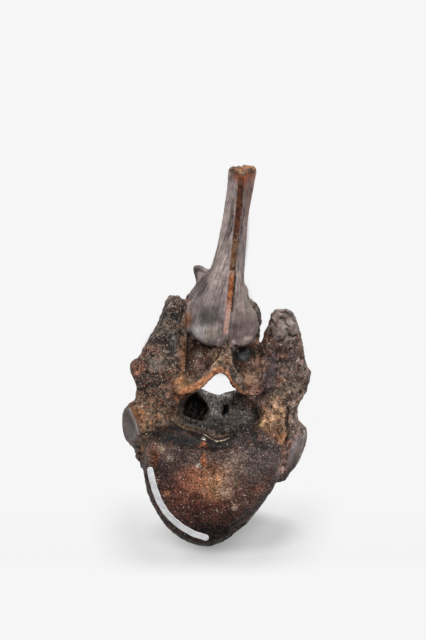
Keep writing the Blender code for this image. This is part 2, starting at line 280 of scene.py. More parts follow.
def carved(item, cutter):
    """Cuts one closed object out of another."""
    worked(item, ("BOOLEAN", {"operation": "DIFFERENCE", "solver": "EXACT", "object": cutter}))
    bpy.data.objects.remove(cutter)


forms = bmesh.new()
canal = [
    (-6, 1.2, -36, 10.5, 10.8, 6.5, 9.2),
    (4, 1.2, -36, 11, 11.4, 6.5, 9.2),
    (9, *CANAL_MID, 14.5, 15, 7.6, 9.4),
    (36, *CANAL_MID, *CANAL_SIZE),
    (43, *CANAL_MID, 17, 17.2, 8.8, 10),
    (60, 0, -36.5, 20, 20, 9.4, 14),
]
tube(forms, "Z", canal, CANAL_SHAPE)
notch = [
    (14, 1.4, -29, 4, 3.4, 4, 3),
    (32, 1.3, -29, 7.2, 5.3, 4, NOTCH_PEAK + 29),
    (44, 1.3, -29, 11.2, 8.1, 4, NOTCH_PEAK + 32),
]
tube(forms, "Z", notch, NOTCH_SHAPE)
for hollow in [*CUPS, *PITS]:
    ball(forms, *hollow)
for centre, radius in JOINT_FACES:
    ball(forms, centre, (radius, radius, radius))
ball(forms, *REAR_HOLLOW)
hollows = keep(forms, "hollows")
fused(hollows, CUT_VOXEL, CUT_PASSES)
carved(bone, hollows)

forms = bmesh.new()
forms.from_mesh(bone.data)
left_skirt = [
    (-14.2, -1, 18.5, 2, 1.6, 3, 3.6),
    (-13, -1.6, 18, 4.4, 3, 4, 6.2),
    (-10.5, -2.6, 17.5, 7, 4.8, 5, 7.5),
    (-7, -3, 17, 8.6, 6.2, 6, 8),
    (-2, -2.8, 16.5, 9, 6.8, 6, 8),
    (3, -2, 16.5, 8.6, 6.4, 6, 7.2),
    (9, 0, 16, 6.8, 5.6, 5, 5.6),
    (16, 2.6, 15.5, 4.4, 4.2, 4, 4),
    (22, 4.4, 15, 2.2, 2.4, 3, 2.4),
]
tube(forms, "Y", left_skirt, SKIRT_SHAPE)
right_skirt = [
    (-14.4, 9.8, 18.5, 2, 2.2, 3, 3.6),
    (-13.2, 10.2, 18, 3.6, 4, 4, 6.2),
    (-10.5, 10.8, 17.5, 4.8, 6, 5, 7.4),
    (-7, 10.9, 17, 5.2, 6.6, 6, 7.6),
    (-2, 10.6, 16.5, 5.4, 6, 6, 7.4),
    (3, 9.6, 16.5, 4.8, 3.6, 6, 6.6),
    (9, 8.8, 16, 4, 2.8, 5, 5.4),
    (16, 8.4, 15.5, 3, 2.6, 4, 3.8),
]
tube(forms, "Y", right_skirt, SKIRT_SHAPE)
front_edge = [
    (-22, 1, 28, 3.6, 3.6, 3, 3.6),
    (-17, 2.4, 26, 3.2, 3.2, 4, 3.4),
    (-12, 3.8, 24, 2.4, 2.4, 4, 3.2),
    (-8, 4.8, 24.2, 1.6, 1.6, 3, 2.4),
    (0, 5.3, 24.2, 1.1, 1.1, 3, 1.8),
    (12, 6.5, 21.6, 1, 1, 3, 1.7),
    (24, 8, 18.8, 1, 1, 3, 1.5),
    (36, 9.5, 16.4, 1, 1, 3, 1.4),
    (48, 10.5, 14.4, 1, 1, 3, 1.4),
    (TIP_Y - 0.6, 11, 13.2, 1.2, 1.2, 3, 1.2),
]
tube(forms, "Y", front_edge, FRONT_SHAPE)
ball(forms, (19.3, -35.0, 20.0), (3.0, 5.5, 5.5))
forms.to_mesh(bone.data)
forms.free()
fused(bone, FINE_VOXEL, FINE_PASSES)

# Small islands that the cuts left loose fall away, and only the bone itself stays.
forms = bmesh.new()
forms.from_mesh(bone.data)
left_over = set(forms.verts)
islands = []
while left_over:
    edge = [left_over.pop()]
    island = set(edge)
    while edge:
        for link in edge.pop().link_edges:
            for v in link.verts:
                if v in left_over:
                    left_over.discard(v)
                    island.add(v)
                    edge.append(v)
    islands.append(island)
islands.sort(key=len)
for island in islands[:-1]:
    bmesh.ops.delete(forms, geom=list(island), context="VERTS")
forms.to_mesh(bone.data)
forms.free()

# The lie of the surface. Each zone of the bone is a soft mask over its points, read off the same named forms: the
# fibrous spine and skirts, the domed head and its rim, the smooth joint faces, the cups, the canal, and the
# spongy rest. The masks steer both the carving and the colours.
def read(mesh, what):
    """All points or all point normals of a mesh, as rows."""
    flat = np.empty(len(mesh.vertices) * 3)
    if what == "co":
        mesh.vertices.foreach_get("co", flat)
    else:
        mesh.vertex_normals.foreach_get("vector", flat)
    return flat.reshape(-1, 3)


def grain(size, seed, octaves=1):
    """Smooth random values from about -1 to 1, in lumps of a size in millimetres."""
    at = spots / size + seed * 7.3
    if octaves == 1:
        return np.array([noise.noise(p) for p in at.tolist()])
    return np.array([noise.fractal(p, 0.7, 2.1, octaves) for p in at.tolist()])


def ease(value, low, high):
    """Goes smoothly from 0 at low to 1 at high."""
    t = np.clip((value - low) / (high - low), 0, 1)
    return t * t * (3 - 2 * t)


BORDER_WANDER = 0.7
spots = read(bone.data, "co")
loose = spots + BORDER_WANDER * np.stack([grain(4.0, 11), grain(4.0, 12), grain(4.0, 13)], 1)
x, y, z = loose.T

RIDGE = [(11.0, 57.0), (10.5, 48.0), (9.6, 33.0), (8.0, 21.0), (6.4, 10.0), (5.2, -1.6), (4.8, -8.1)]
ridge_x = np.interp(y, [p[1] for p in RIDGE[::-1]], [p[0] for p in RIDGE[::-1]])

shaft = ease(y, 2.5, 6.0) * ease(x, -12.5, -10.5) * (1 - ease(x, 18.0, 19.5))
left_lobe = 1 - ease(np.hypot((x + 3.0) / 9.2, (y + 2.2) / 11.6), 0.95, 1.1)
right_lobe = 1 - ease(np.hypot((x - 11.0) / 6.4, (y + 2.8) / 11.2), 0.95, 1.1)
skirts = np.maximum(left_lobe, right_lobe) * ease(z, 13.5, 16.5)
fibrous = np.maximum(shaft, skirts)

du = x - HEAD_MID[0]
dv = y - HEAD_MID[1]
wide = np.where(du < 0, HEAD_SIZE[0], HEAD_SIZE[1])
tall = np.where(dv < 0, HEAD_SIZE[2], HEAD_SIZE[3])
power = np.where(dv < 0, np.where(du < 0, HEAD_SHAPE[0], HEAD_SHAPE[1]), HEAD_SHAPE[2])
reach = (np.abs(du / wide) ** power + np.abs(dv / tall) ** power) ** (1 / power)
head = (1 - ease(reach, 1.0, 1.05)) * ease(z, 39.0, 42.0)
rim = ease(reach, 0.80, 0.90) * head

seats = np.zeros(len(spots))
for centre, radius in JOINT_FACES:
    off = np.abs(np.linalg.norm(spots - np.array(centre), axis=1) - radius)
    seats = np.maximum(seats, 1 - ease(off, 0.5, 1.1))
seats = seats * (1 - head)

cups = np.zeros(len(spots))
for centre, size, turn in CUPS:
    inward = Euler([math.radians(t) for t in turn]).to_matrix().inverted()
    local = (spots - np.array(centre)) @ np.array(inward).T / np.array(size)
    cups = np.maximum(cups, 1 - ease(np.linalg.norm(local, axis=1), 1.0, 1.12))
cups = cups * (1 - skirts) * (1 - ease(y, -3.0, 0.0))
canal_zone = 1 - ease(np.hypot((x - CANAL_MID[0]) / 16.4, (y - CANAL_MID[1]) / 9.6), 0.95, 1.06)
canal_zone = canal_zone * (1 - ease(z, 39.5, 42.5))
spongy = (1 - fibrous) * (1 - 0.8 * head) * (1 - 0.95 * seats) * (1 - 0.5 * canal_zone)

# Relief. Each point moves in or out along its own normal: lumps, crumbs and pores where the thin hard wall has worn
# through to spongy bone, a groove and a sharp edge down the front of the spine, cracks, chips and the canal's pits.
# Features are placed on the plane through the bone's middle that faces the camera, in millimetres across and up.
MM = 0.001
MIDDLE = (0.114, -18.165)
RUB = 0.4
TILT = 18.0
AWAY = 630.0
AIM = Vector((-1.2, 0.0, 30.0))
facing = np.array((0, math.sin(math.radians(TILT)), math.cos(math.radians(TILT))))
upward = np.array((0, math.cos(math.radians(TILT)), -math.sin(math.radians(TILT))))


def seen(points):
    """Where points appear on the plane that faces the camera: across and up, in millimetres."""
    from_aim = points - np.array(AIM)
    shrink = AWAY / (AWAY - from_aim @ facing)
    return np.stack([from_aim[:, 0] * shrink, (from_aim @ upward) * shrink], 1)


turned = read(bone.data, "normals")
front = ease(turned @ facing, -0.1, 0.2)
sharp = seen(spots)
stray = seen(loose)


def spot(u, v, ru, rv, turn=0.0, soft=0.5, at=None):
    """An oval zone on the side that the camera sees, with a soft edge."""
    c = math.cos(math.radians(turn))
    s = math.sin(math.radians(turn))
    du, dv = ((stray if at is None else at) - (u, v)).T
    far = np.hypot((du * c + dv * s) / ru, (dv * c - du * s) / rv)
    return (1 - ease(far, 1 - soft, 1 + soft)) * front


def band(path, width, soft=0.5, at=None):
    """A band along a path on the side that the camera sees."""
    here = sharp if at is None else at
    near = np.full(len(here), 1e9)
    for a, b in zip(path, path[1:]):
        start = np.array(a, float)
        run = np.array(b, float) - start
        t = np.clip(((here - start) @ run) / (run @ run), 0, 1)
        near = np.minimum(near, np.linalg.norm(here - start - t[:, None] * run, axis=1))
    return (1 - ease(near, width / 2 * (1 - soft), width / 2 * (1 + soft))) * front


def pitted(size, low, high):
    """Scattered round pits: 1 in a pit's middle, 0 between pits."""
    return 1 - ease(np.array([noise.voronoi(p)[0][0] for p in (loose / size).tolist()]), low, high)


lumps = grain(5.0, 21, 2)
knobs = grain(2.6, 26, 2)
crumbs = grain(1.5, 22, 2)
pores = pitted(2.4, 0.10, 0.45) * ease(grain(6.0, 24), -0.3, 0.2)
broken_end = ease(y, 51.0, 53.5) * ease(turned[:, 1], 0.35, 0.7)
rough = np.maximum(spongy, broken_end)
relief = rough * (0.50 * lumps + 0.34 * knobs + 0.22 * crumbs - 0.80 * pores)
relief += head * (0.14 * lumps + 0.08 * crumbs) + fibrous * (0.08 * knobs + 0.05 * crumbs)

GROOVE = [(11.6, 60.0), (11.2, 57.1), (10.2, 43.8), (9.1, 33.5), (7.7, 19.6)]
EDGE = [(7.7, 19.6), (7.2, 13.7), (6.6, 8.0), (6.2, 3.3), (5.4, -1.6), (5.1, -5.7)]
TOP_CRACKS = [
    ([(22.2, 1.6), (23.6, -0.6), (25.2, -2.8)], 0.8),
    ([(26.8, 0.9), (28.4, 0.6), (29.2, -1.6), (30.4, -2.6)], 0.8),
    ([(29.9, -5.6), (31.8, -6.6), (33.8, -5.8)], 0.9),
    ([(25.6, -8.6), (27.6, -8.2), (29, -6.6)], 0.7),
    ([(27.2, 3.2), (29, 3.4), (31.6, 1.8)], 0.8),
]
SIDE_CRACK = [(30.2, -35.2), (29.4, -41.9), (30.2, -44.7), (28.8, -49.2)]
LIP = [
    (-17, -39.1), (-14.2, -41.4), (-11.4, -43), (-7.5, -43.9), (-4.1, -45), (-1.4, -47), (1.4, -48.3),
    (3.7, -48.1), (6.5, -46.9), (9.3, -45.8),
]
RIM_RISE = 0.3
TOP_CRACK_DEPTH = 0.8
RIDGE_PASSES = 6
CUTS = [
    (band(GROOVE, 2.7, 0.5), 1.3),
    (band(EDGE, 1.8), -0.4),
    (spot(-1.8, 0.4, 4.2, 3.4, soft=0.8), 0.9),
    (band([(-11, -8), (-12.3, -14), (-13.2, -20.5), (-13, -23)], 2.2, 0.8), -0.7),
    (band([(-2.6, -17.2), (0.2, -15.8), (1.6, -13.4)], 1.4, 0.8) * cups, -0.8),
    (band([(-4.4, -18.6), (-1.4, -18.6)], 1.4, 0.8), 0.8),
    (spot(31.6, -3.6, 2.5, 2.2, soft=0.3), -0.5),
    (band(SIDE_CRACK, 1.3, 0.6), 1.2),
    (band(LIP, 0.8, 0.4), 0.6),
    (band([(u, v - 1.7) for u, v in LIP[2:]], 0.7, 0.4), 0.5),
    (spot(5.1, -35.5, 1.4, 2.1, soft=0.35, at=sharp), 2.6),
    (spot(-7.6, -34.8, 4.4, 5.4, turn=-16, soft=0.5), 3),
    (spot(9.4, -34, 6.4, 6.4, soft=0.5), 0.9),
    (band([(7.6, -84.6), (9.8, -83.2), (12.4, -81.6)], 1.6, 0.6), 0.9),
    (spot(19.4, -41, 1.6, 1.4, soft=0.3), -0.5),
    (band([(9, -82.6), (13.4, -79.6), (17.6, -75.4), (20.4, -70.6)], 4, 0.6), 0.7),
    (band([(-26, -66), (-22, -74.4), (-16, -81.6)], 4, 0.6), 0.4),
    (spot(-29.4, -55.2, 2.4, 3.4, soft=0.6), 1.2),
    (spot(-17.6, 8.2, 3.6, 2.4, soft=0.6), 0.6),
    (spot(-31.8, -18.4, 2.2, 2.6, soft=0.6), 0.7),
    (spot(38.6, -22, 2.4, 3.4, soft=0.6), 0.6),
    (spot(34.4, -9, 2, 5, soft=0.6), 0.5),
]
CUTS += [(band(path, width), TOP_CRACK_DEPTH) for path, width in TOP_CRACKS]
cut = sum(mask * depth for mask, depth in CUTS)
finished = spots + turned * (relief + RIM_RISE * rim * ease(z, HEAD_Z, HEAD_Z + 1.5) - cut)[:, None]
finished[:, 2] = np.maximum(finished[:, 2], RUB)
shown = seen(finished)
finished = (finished - np.array((*MIDDLE, RUB))) * MM
bone.data.vertices.foreach_set("co", finished.ravel())
ridge_points = np.maximum(band(EDGE, 4.0, 0.2), band(GROOVE, 4.0, 0.2)) > 0.3
forms = bmesh.new()
forms.from_mesh(bone.data)
forms.verts.ensure_lookup_table()
crest = [forms.verts[k] for k in np.flatnonzero(ridge_points)]
for _ in range(RIDGE_PASSES):
    bmesh.ops.smooth_vert(forms, verts=crest, factor=0.5, use_axis_x=True, use_axis_y=True, use_axis_z=True)
forms.to_mesh(bone.data)
forms.free()
bone.data.polygons.foreach_set("use_smooth", [True] * len(bone.data.polygons))
bone.data.update()


# Old stains. The bone lay in wet ground: brown to nearly black, with rust where iron settled, ochre where its
# spongy inside shows, and a lavender grey on the hard spine. Soft patches are laid over one another. Some of them
# are painted shade or painted light, marked where they are laid. At the end the hollows of the relief are darkened
# and what stands proud is lightened: painted shade and painted light.
def linear(code):
    """A colour of six hex digits in sRGB, turned linear."""
    parts = [int(code[k:k + 2], 16) / 255 for k in (0, 2, 4)]
    return np.array([p / 12.92 if p <= 0.04045 else ((p + 0.055) / 1.055) ** 2.4 for p in parts])


paint = np.tile(linear("574a42"), (len(spots), 1))


def dab(mask, code, strength=1.0):
    """Lays a colour over the points, as strong as its mask."""
    share = np.clip(mask * strength, 0, 1)[:, None]
    paint[:] = paint * (1 - share) + linear(code) * share


def lay_spots(rows):
    """Lays oval patches. A row is across, up, two half widths, turn, softness, colour and strength."""
    for u, v, ru, rv, turn, soft, code, strength in rows:
        dab(spot(u, v, ru, rv, turn, soft), code, strength)


blotch = grain(9.0, 31, 2)
speck = grain(3.2, 32, 3)
dab(spongy * ease(blotch, 0.0, 0.5), "6c563f", 0.8)
dab(spongy * ease(-blotch, 0.1, 0.6), "342c29", 0.8)
dab(spongy * ease(speck, 0.25, 0.7), "81573a", 0.6)
dab(spongy * ease(-speck, 0.2, 0.6), "221c1a", 0.7)
dab(fibrous, "8e7f7b")
dab(fibrous * ease(blotch, 0.0, 0.6), "7a6b68", 0.5)
dab(seats, "6b6060", 0.9)
dab(canal_zone, "332d2c", 0.9)

# spine and skirts
right_half = ease(x - ridge_x, 0.6, 2.0)
# Painted light: the spine's right half is painted lighter, to even out the shade the lamps leave on that side.
dab(fibrous * right_half * ease(y, 22, 34), "957b74", 0.85)
dab(fibrous * right_half * (1 - ease(y, 14, 26)), "8f7e79", 0.8)
dab(fibrous * (1 - right_half) * (1 - ease(y, 2, 16)), "766b6c", 0.85)
dab(band([(8.0, 48.0), (7.0, 38.5), (5.8, 33.5)], 1.2, 0.9), "4a3c3b", 0.7)
dab(band([(11.9, 46.0), (11.4, 38.0), (10.6, 34.0)], 1.0, 0.9), "4a3836", 0.7)
lay_spots([
    (12, 56.4, 2, 3.6, 0, 0.9, "96583a", 0.85),
    (15, 50, 1.8, 8, -8, 0.9, "7b5447", 0.6),
    (8.9, 31.6, 1.2, 1.6, 0, 0.7, "7d6850", 0.75),
    (8.2, 23.8, 0.9, 2.8, 0, 0.7, "8f734c", 0.8),
])
dab(ease(y, 50.5, 54.5) * (1 - 0.4 * broken_end) * spot(12.0, 58.5, 4.6, 6.0, 0, 0.5), "86492c", 0.85)
dab(broken_end, "7c4d31", 0.95)
dab(broken_end * ease(speck, 0.0, 0.4), "a47848", 0.7)
dab(ease(y, 54.0, 56.0) * ease(turned[:, 1], 0.1, 0.35) * (1 - ease(turned[:, 1], 0.5, 0.8)), "2e211b", 0.8)
lay_spots([
    (-1.6, 0.6, 4.6, 3.6, 0, 0.7, "3f3d38", 0.88),
    (-1.9, -5.6, 2.8, 3, 0, 0.8, "857b66", 0.5),
    # the left skirt's pale grey lower rim, with a painted highlight in it
    (-6.6, -5, 3.6, 3.4, 0, 0.7, "a39b9b", 0.85),
    (2.4, -4.8, 1.8, 3.2, 0, 0.8, "9f918c", 0.7),
    (13.4, 1.2, 3.4, 3, 0, 0.8, "6a5b59", 0.7),
    (-10.2, 2, 1.7, 6, 0, 0.8, "6b5b54", 0.75),
    (11.5, -4, 4.6, 5.4, 0, 0.7, "625353", 0.85),
    (-0.4, 8.4, 4.6, 5.4, 0, 0.8, "6f6462", 0.6),
    (14.8, 5.6, 2.4, 3.6, 0, 0.7, "7c7468", 0.7),
    (-10.3, -0.2, 1.5, 2.6, 0, 0.8, "7c5232", 0.75),
    (-6, 15.4, 3.6, 6.4, 0, 0.4, "5d5352", 0.85),
    (-7.6, 20.4, 1.8, 1.8, 0, 0.8, "74655c", 0.8),
    (-4.2, 13.2, 1.2, 5, -20, 0.8, "433b3b", 0.7),
])

# cups, the strut between them and the arch's worn edge
dab(cups, "3b2a24", 0.9)
dab(cups * ease(speck, 0.15, 0.5), "63402f", 0.6)
LEFT_SKIRT_SHADE = [(-9.6, -5.2), (-8.8, -7.6), (-6.6, -9.6), (-3.4, -11.2)]
RIGHT_SKIRT_LIGHT = [(7.0, -10.4), (9.3, -11.8), (12.1, -12.1), (15.0, -11.2), (17.6, -9.2)]
# Painted shade: a dark band under the left skirt's lower rim, where it overhangs the cup.
dab(band(LEFT_SKIRT_SHADE, 2.6, 0.7, stray) * (1 - skirts), "1a1412", 0.85)
# Painted light: a mid grey band along the right skirt's lower rim, lifting the shade under it.
dab(band(RIGHT_SKIRT_LIGHT, 2.6, 0.7, stray) * (1 - skirts), "6e5f5a", 0.8)
lay_spots([
    (-5.8, -19.8, 4.4, 3, 0, 0.8, "5d4a47", 0.6),
    (3.8, -15.4, 3.6, 3.8, 0, 0.7, "7e624c", 0.85),
    (5.2, -10, 1.9, 2.6, 0, 0.6, "2b241e", 0.85),
    # painted shade: the hole of the right cup under its skirt is blue-black, with a painted highlight of slate grey
    (11.8, -14.4, 4.1, 3, 0, 0.4, "1d1f21", 0.97),
    (12.8, -14.4, 2, 1.5, 20, 0.9, "4b5052", 0.65),
    (10.4, -19, 2.4, 2, 0, 0.7, "2a201c", 0.85),
    (14.8, -22.8, 3.8, 3.6, 0, 0.6, "7c6150", 0.9),
    (13, -17.8, 3.4, 1.8, 0, 0.7, "33251f", 0.85),
    (15.6, -14.8, 1.9, 2, 0, 0.7, "1c1412", 0.9),
    (18.4, -18.2, 1.7, 3, 0, 0.8, "8d6c5c", 0.7),
    (11.6, -21.8, 1.8, 1.5, 0, 0.8, "94715b", 0.7),
    # painted light over the shade at the right cup's edge under the skirt
    (15.2, -8.4, 2.6, 1.4, 0, 0.7, "bda9a1", 0.9),
])
dab(band([(14.0, -26.6), (17.0, -29.2), (19.4, -27.6)], 3.0, 0.7, stray), "8a5540", 0.8)
dab(band([(15.6, -10.4), (18.4, -8.2), (21.0, -5.8)], 1.4, 0.7, stray), "85573a", 0.7)
dab(band([(-11.2, -7.5), (-12.1, -14.0), (-12.6, -23.0)], 2.2, 0.8, stray), "68482f", 0.7)
ARCH_EDGE = [
    (-14.4, -31), (-11.5, -28.7), (-7.5, -26.5), (-3.8, -24.4), (-1.2, -22.3), (1.2, -20.4), (3.2, -19.8),
]
RIGHT_ARCH = [(5.4, -20.6), (6.6, -23.4), (8.2, -26.4), (11.4, -28.6), (14.4, -30.2)]
dab(band(ARCH_EDGE, 2.3, 0.5, stray), "b77c55", 0.9)
dab(spot(-11.8, -26.4, 3.4, 3.6, 30, 0.8), "b78359", 0.8)
dab(band(RIGHT_ARCH, 1.7, 0.5, stray), "a0705a", 0.9)
dab(band([(7.8, -17.4), (9.4, -20.6), (11.6, -24.4)], 1.2, 0.6, stray), "7a6458", 0.7)

lay_spots([
    # left side process
    (-19, 4, 6, 7, 0, 0.6, "423b37", 0.75),
    # painted highlight along the top edge of the left process
    (-18.8, 7.4, 3, 1.6, 0, 0.7, "7a736c", 0.7),
    (-17, 1, 3, 3, 0, 0.8, "282522", 0.75),
    (-20.4, -4, 5.6, 3, -30, 0.7, "46413c", 0.8),
    (-20.2, -8.3, 5.2, 2.1, -4, 0.6, "141111", 0.95),
    (-23.8, -12.4, 4, 1.9, 0, 0.7, "74493a", 0.8),
    (-19.6, -11.6, 2.4, 1.8, 0, 0.8, "46372f", 0.8),
    (-15.4, -13.4, 2.2, 6.6, 4, 0.6, "3d4145", 0.85),
    (-13, -14.7, 1.5, 4.4, 0, 0.8, "543a2b", 0.75),
    (-23.6, -16.6, 4.4, 2.8, 0, 0.7, "5c544f", 0.75),
    (-17.6, -21, 3.4, 3, 0, 0.7, "5b3c30", 0.7),
    (-30.4, -18.6, 3, 5.2, -14, 0.6, "7a4c3b", 0.85),
    (-26, -28, 7.4, 4.6, -30, 0.7, "48352c", 0.8),
    (-20, -30, 4, 3, 0, 0.7, "332823", 0.7),
    # right side process
    (28, -2.6, 7.2, 7.2, 0, 0.3, "80736d", 0.95),
    (31.6, -3.2, 2.6, 2.4, 0, 0.3, "6c625d", 0.8),
    # painted shade on the inner edge of the right process
    (22, -8, 2.6, 4.6, 0, 0.6, "33221d", 0.95),
    (28.2, -14, 6.8, 4.8, 0, 0.7, "4c3027", 0.9),
    (32.6, -17, 3.4, 5.6, 0, 0.7, "564b4e", 0.7),
    (23.5, -20, 3.2, 6, 0, 0.7, "3f3437", 0.75),
    (37, -21, 2, 4.2, 0, 0.6, "97857a", 0.85),
    (31.4, -27.4, 6, 6.4, 0, 0.8, "5e4f44", 0.7),
    # canal walls and the rough bone beside the joint faces
    (-26.9, -36.9, 8.4, 6.4, -20, 0.6, "5c4533", 0.9),
    (-23.2, -45, 2.4, 3.4, 0, 0.8, "977a6b", 0.75),
    (-30, -36.5, 2.6, 4, 20, 0.7, "8f5a30", 0.8),
    (-24, -40.5, 2.4, 2.4, 0, 0.8, "8c5f35", 0.7),
    (-18, -33, 3, 5, 30, 0.7, "453730", 0.7),
    (-25.6, -52.6, 3.4, 2.8, 0, 0.7, "8c5530", 0.9),
    (24.5, -38.5, 5.6, 7.4, 0, 0.5, "b88f6d", 0.95),
    (19, -41.6, 1.8, 1.6, 0, 0.6, "ad9160", 0.9),
    (25.4, -46.6, 3.2, 3.2, 0, 0.7, "9b6130", 0.85),
    (28.2, -55, 2.2, 4, 0, 0.7, "7a4c2e", 0.8),
    (33.4, -38, 3.4, 7.4, 0, 0.8, "82746a", 0.75),
    (20.2, -32.4, 3, 3.4, 0, 0.7, "5d4238", 0.8),
    (-29.4, -33.4, 2.4, 2.4, 0, 0.8, "5d4638", 0.8),
    (-23.6, -42, 4, 3.4, 0, 0.8, "98775c", 0.8),
    (-26.3, -47, 2.4, 2.4, 0, 0.8, "806454", 0.7),
    (-16.6, -27.6, 2.6, 2.4, 0, 0.8, "96705d", 0.7),
    (-16.7, -37, 2.4, 2.4, 0, 0.8, "8a6b56", 0.7),
    (24.7, -33.8, 2.4, 1.8, 0, 0.8, "93745f", 0.7),
    (22, -44.6, 2.8, 3.2, 0, 0.7, "a98068", 0.85),
    (25, -47.4, 2.4, 2.2, 0, 0.7, "ab7650", 0.85),
    (31.2, -31.4, 3.4, 3.4, 0, 0.8, "8f786b", 0.8),
    (28, -21, 3, 2.6, 0, 0.8, "4b3d3b", 0.75),
    # joint faces
    (-32.8, -43.4, 3, 8.6, 14, 0.3, "615857", 0.95),
    (32.6, -51.8, 3.4, 7.6, -22, 0.3, "8d746b", 0.95),
    (28.2, -58, 2.6, 3.4, 0, 0.6, "93715f", 0.85),
    (30, -60, 2.2, 1.6, 0, 0.6, "8a5640", 0.8),
])
dab(band([(24.6, -15.6), (24.0, -18.4), (21.9, -25.0), (18.8, -32.0)], 3.4, 0.8, stray), "4f4348", 0.85)
dab(band(SIDE_CRACK, 1.6, 0.8), "2c1d18", 0.8)
LEFT_FACE_LINE = [(-33.2, -35.4), (-30.6, -41.4), (-29.0, -48.6)]
RIGHT_FACE_LINE = [(36.6, -43.8), (35.6, -51.0), (33.4, -58.0)]
SIDE_LINE = [(30.8, -19.8), (32.6, -17.2), (34.4, -15.2)]
dab(band(LEFT_FACE_LINE, 0.7, 0.6), "968b82", 0.8)
dab(band([(34.0, -46.4), (31.4, -52.4), (29.6, -58.0)], 2.0, 0.6), "9d9397", 0.85)
dab(band(RIGHT_FACE_LINE, 0.7, 0.6), "a39a96", 0.8)
dab(band(SIDE_LINE, 0.5, 0.6), "9b8d82", 0.7)
for path, width in TOP_CRACKS:
    dab(band(path, width * 0.9, 0.6), "241d1b", 0.85)

# canal and head
LEFT_RIM = [(-21.6, -57.0), (-20.4, -64.0), (-17.4, -71.0), (-12.6, -76.8), (-6.0, -81.0), (1.0, -83.0)]
RIGHT_RIM = [(24.6, -50.0), (24.4, -62.0), (18.2, -72.4), (12.0, -79.6), (5.5, -84.0)]
INNER_RIM = [(-18.8, -57.0), (-17.6, -63.6), (-14.8, -69.8), (-10.0, -75.0), (-3.6, -78.8)]
RUST_TRAIL = [(-4.0, -49.6), (-4.1, -54.2), (-3.0, -58.6), (-1.8, -61.0)]
head_side = ease(reach, 0.82, 0.9) * ease(z, 31.0, 36.0) * (1 - ease(y, -60, -52))
dab(head, "54403a", 0.95)
dab(head_side, "2f2727", 0.95)
dab(band(LEFT_RIM, 5.0, 0.7, stray), "2d2424", 0.9)
dab(band(RIGHT_RIM, 4.6, 0.7, stray), "3d3433", 0.85)
dab(band(INNER_RIM, 3.4, 0.8, stray), "32282a", 0.45)
lay_spots([
    # painted shade: the left pit in the canal's floor is painted nearly black
    (-7.4, -34.9, 5.1, 5.6, -16, 0.35, "0c0b0c", 0.97),
    (10.6, -35, 6.8, 6.4, 0, 0.6, "4b4644", 0.88),
    # the canal's near floor: partly its own dark colour, partly painted shade
    (2.6, -40.6, 7.6, 2.6, 0, 0.7, "201b1a", 0.92),
    (16.8, -32, 3.4, 3.2, 0, 0.7, "c0968b", 0.85),
    (-10, -52, 10, 5, 0, 0.8, "453b38", 0.85),
    (-4.4, -70, 13.5, 9, 0, 0.7, "593229", 0.95),
    (-6.6, -63.6, 5.6, 4, 0, 0.9, "965f48", 0.85),
    (0.6, -64.7, 4.4, 5.4, 0, 0.9, "a27353", 0.9),
    (18, -55, 7.4, 9, 0, 0.7, "544c4b", 0.85),
    (7.6, -60.6, 4.2, 6.6, -14, 0.9, "846b5c", 0.72),
    (9.2, -54.6, 3.4, 1.6, 0, 0.8, "84736a", 0.6),
    (4.6, -68.6, 2.6, 1.6, 0, 0.8, "a98e78", 0.7),
    (17.4, -67.4, 2.2, 1.3, 0, 0.8, "7e4a37", 0.7),
    (-18.4, -69, 1.6, 0.8, 30, 0.7, "8a5a42", 0.7),
    (3.6, -82.2, 1.3, 1, 0, 0.7, "ab683c", 0.85),
    (8.5, -74.6, 1, 1, 0, 0.7, "b59c88", 0.8),
    # painted shade along the head's lower edge, where it turns down and away from the lamps
    (-2, -78.6, 12, 4.4, 0, 0.8, "38221f", 0.92),
    (6, -80.6, 6.4, 2.8, 30, 0.7, "211818", 0.8),
    (-1, -84.6, 10, 4.2, 0, 0.5, "130e0f", 0.98),
    (-14.4, -45.8, 12, 4.4, -6, 0.4, "0d0b0b", 0.98),
    (11, -45.8, 8.5, 3.4, 4, 0.5, "130f0f", 0.95),
    (1, -49.8, 8, 2.2, 0, 0.5, "0f0b0b", 0.95),
    (14.8, -43.4, 3.4, 1.8, 0, 0.7, "15100f", 0.9),
    (11.6, -50, 3.4, 2.2, 0, 0.8, "3d3231", 0.7),
    (-9, -48, 9, 2.4, -8, 0.5, "0f0c0d", 0.9),
    (17, -48.8, 4.6, 2.2, -20, 0.7, "1a1516", 0.85),
    (-20.7, -51.3, 1.7, 1.2, 0, 0.8, "a58c78", 0.6),
    (-23, -54, 1.4, 3.4, 0, 0.8, "7d4a30", 0.7),
    (-17, -54.8, 1.3, 1.2, 0, 0.8, "8a8074", 0.6),
    (-5.6, -57.9, 0.8, 0.8, 0, 0.7, "c3b9ac", 0.8),
])
dab(band(RUST_TRAIL, 2.2, 0.9, stray) * ease(speck, -0.5, 0.1), "96593a", 0.8)
dab(band([(22.4, -62.6), (18.8, -69.0), (15.0, -73.6)], 2.4, 0.9, stray), "64453c", 0.6)
dab(band([(-4.4, -29.4), (0.6, -30.6), (6.0, -30.2)], 2.6, 0.9), "b0a7a2", 0.8)
dab(band([(-0.4, -30.0), (0.8, -35.0)], 4.6, 0.8), "857e7a", 0.8)
dab(band([(16.4, -35.0), (17.4, -38.0), (15.4, -41.6), (10.6, -43.2)], 2.4, 0.9), "141112", 0.8)
dab(spot(5.1, -35.5, 2.6, 3.0, 0, 0.5, sharp), "6f6966", 0.6)
# Painted shade: the small hole in the canal's floor is painted black.
dab(spot(5.1, -35.5, 1.4, 2.1, 0, 0.4, sharp), "070606", 1.0)
dab(spot(-3.7, -46.8, 0.8, 0.7, 0, 0.6), "cfc9bb", 0.9)
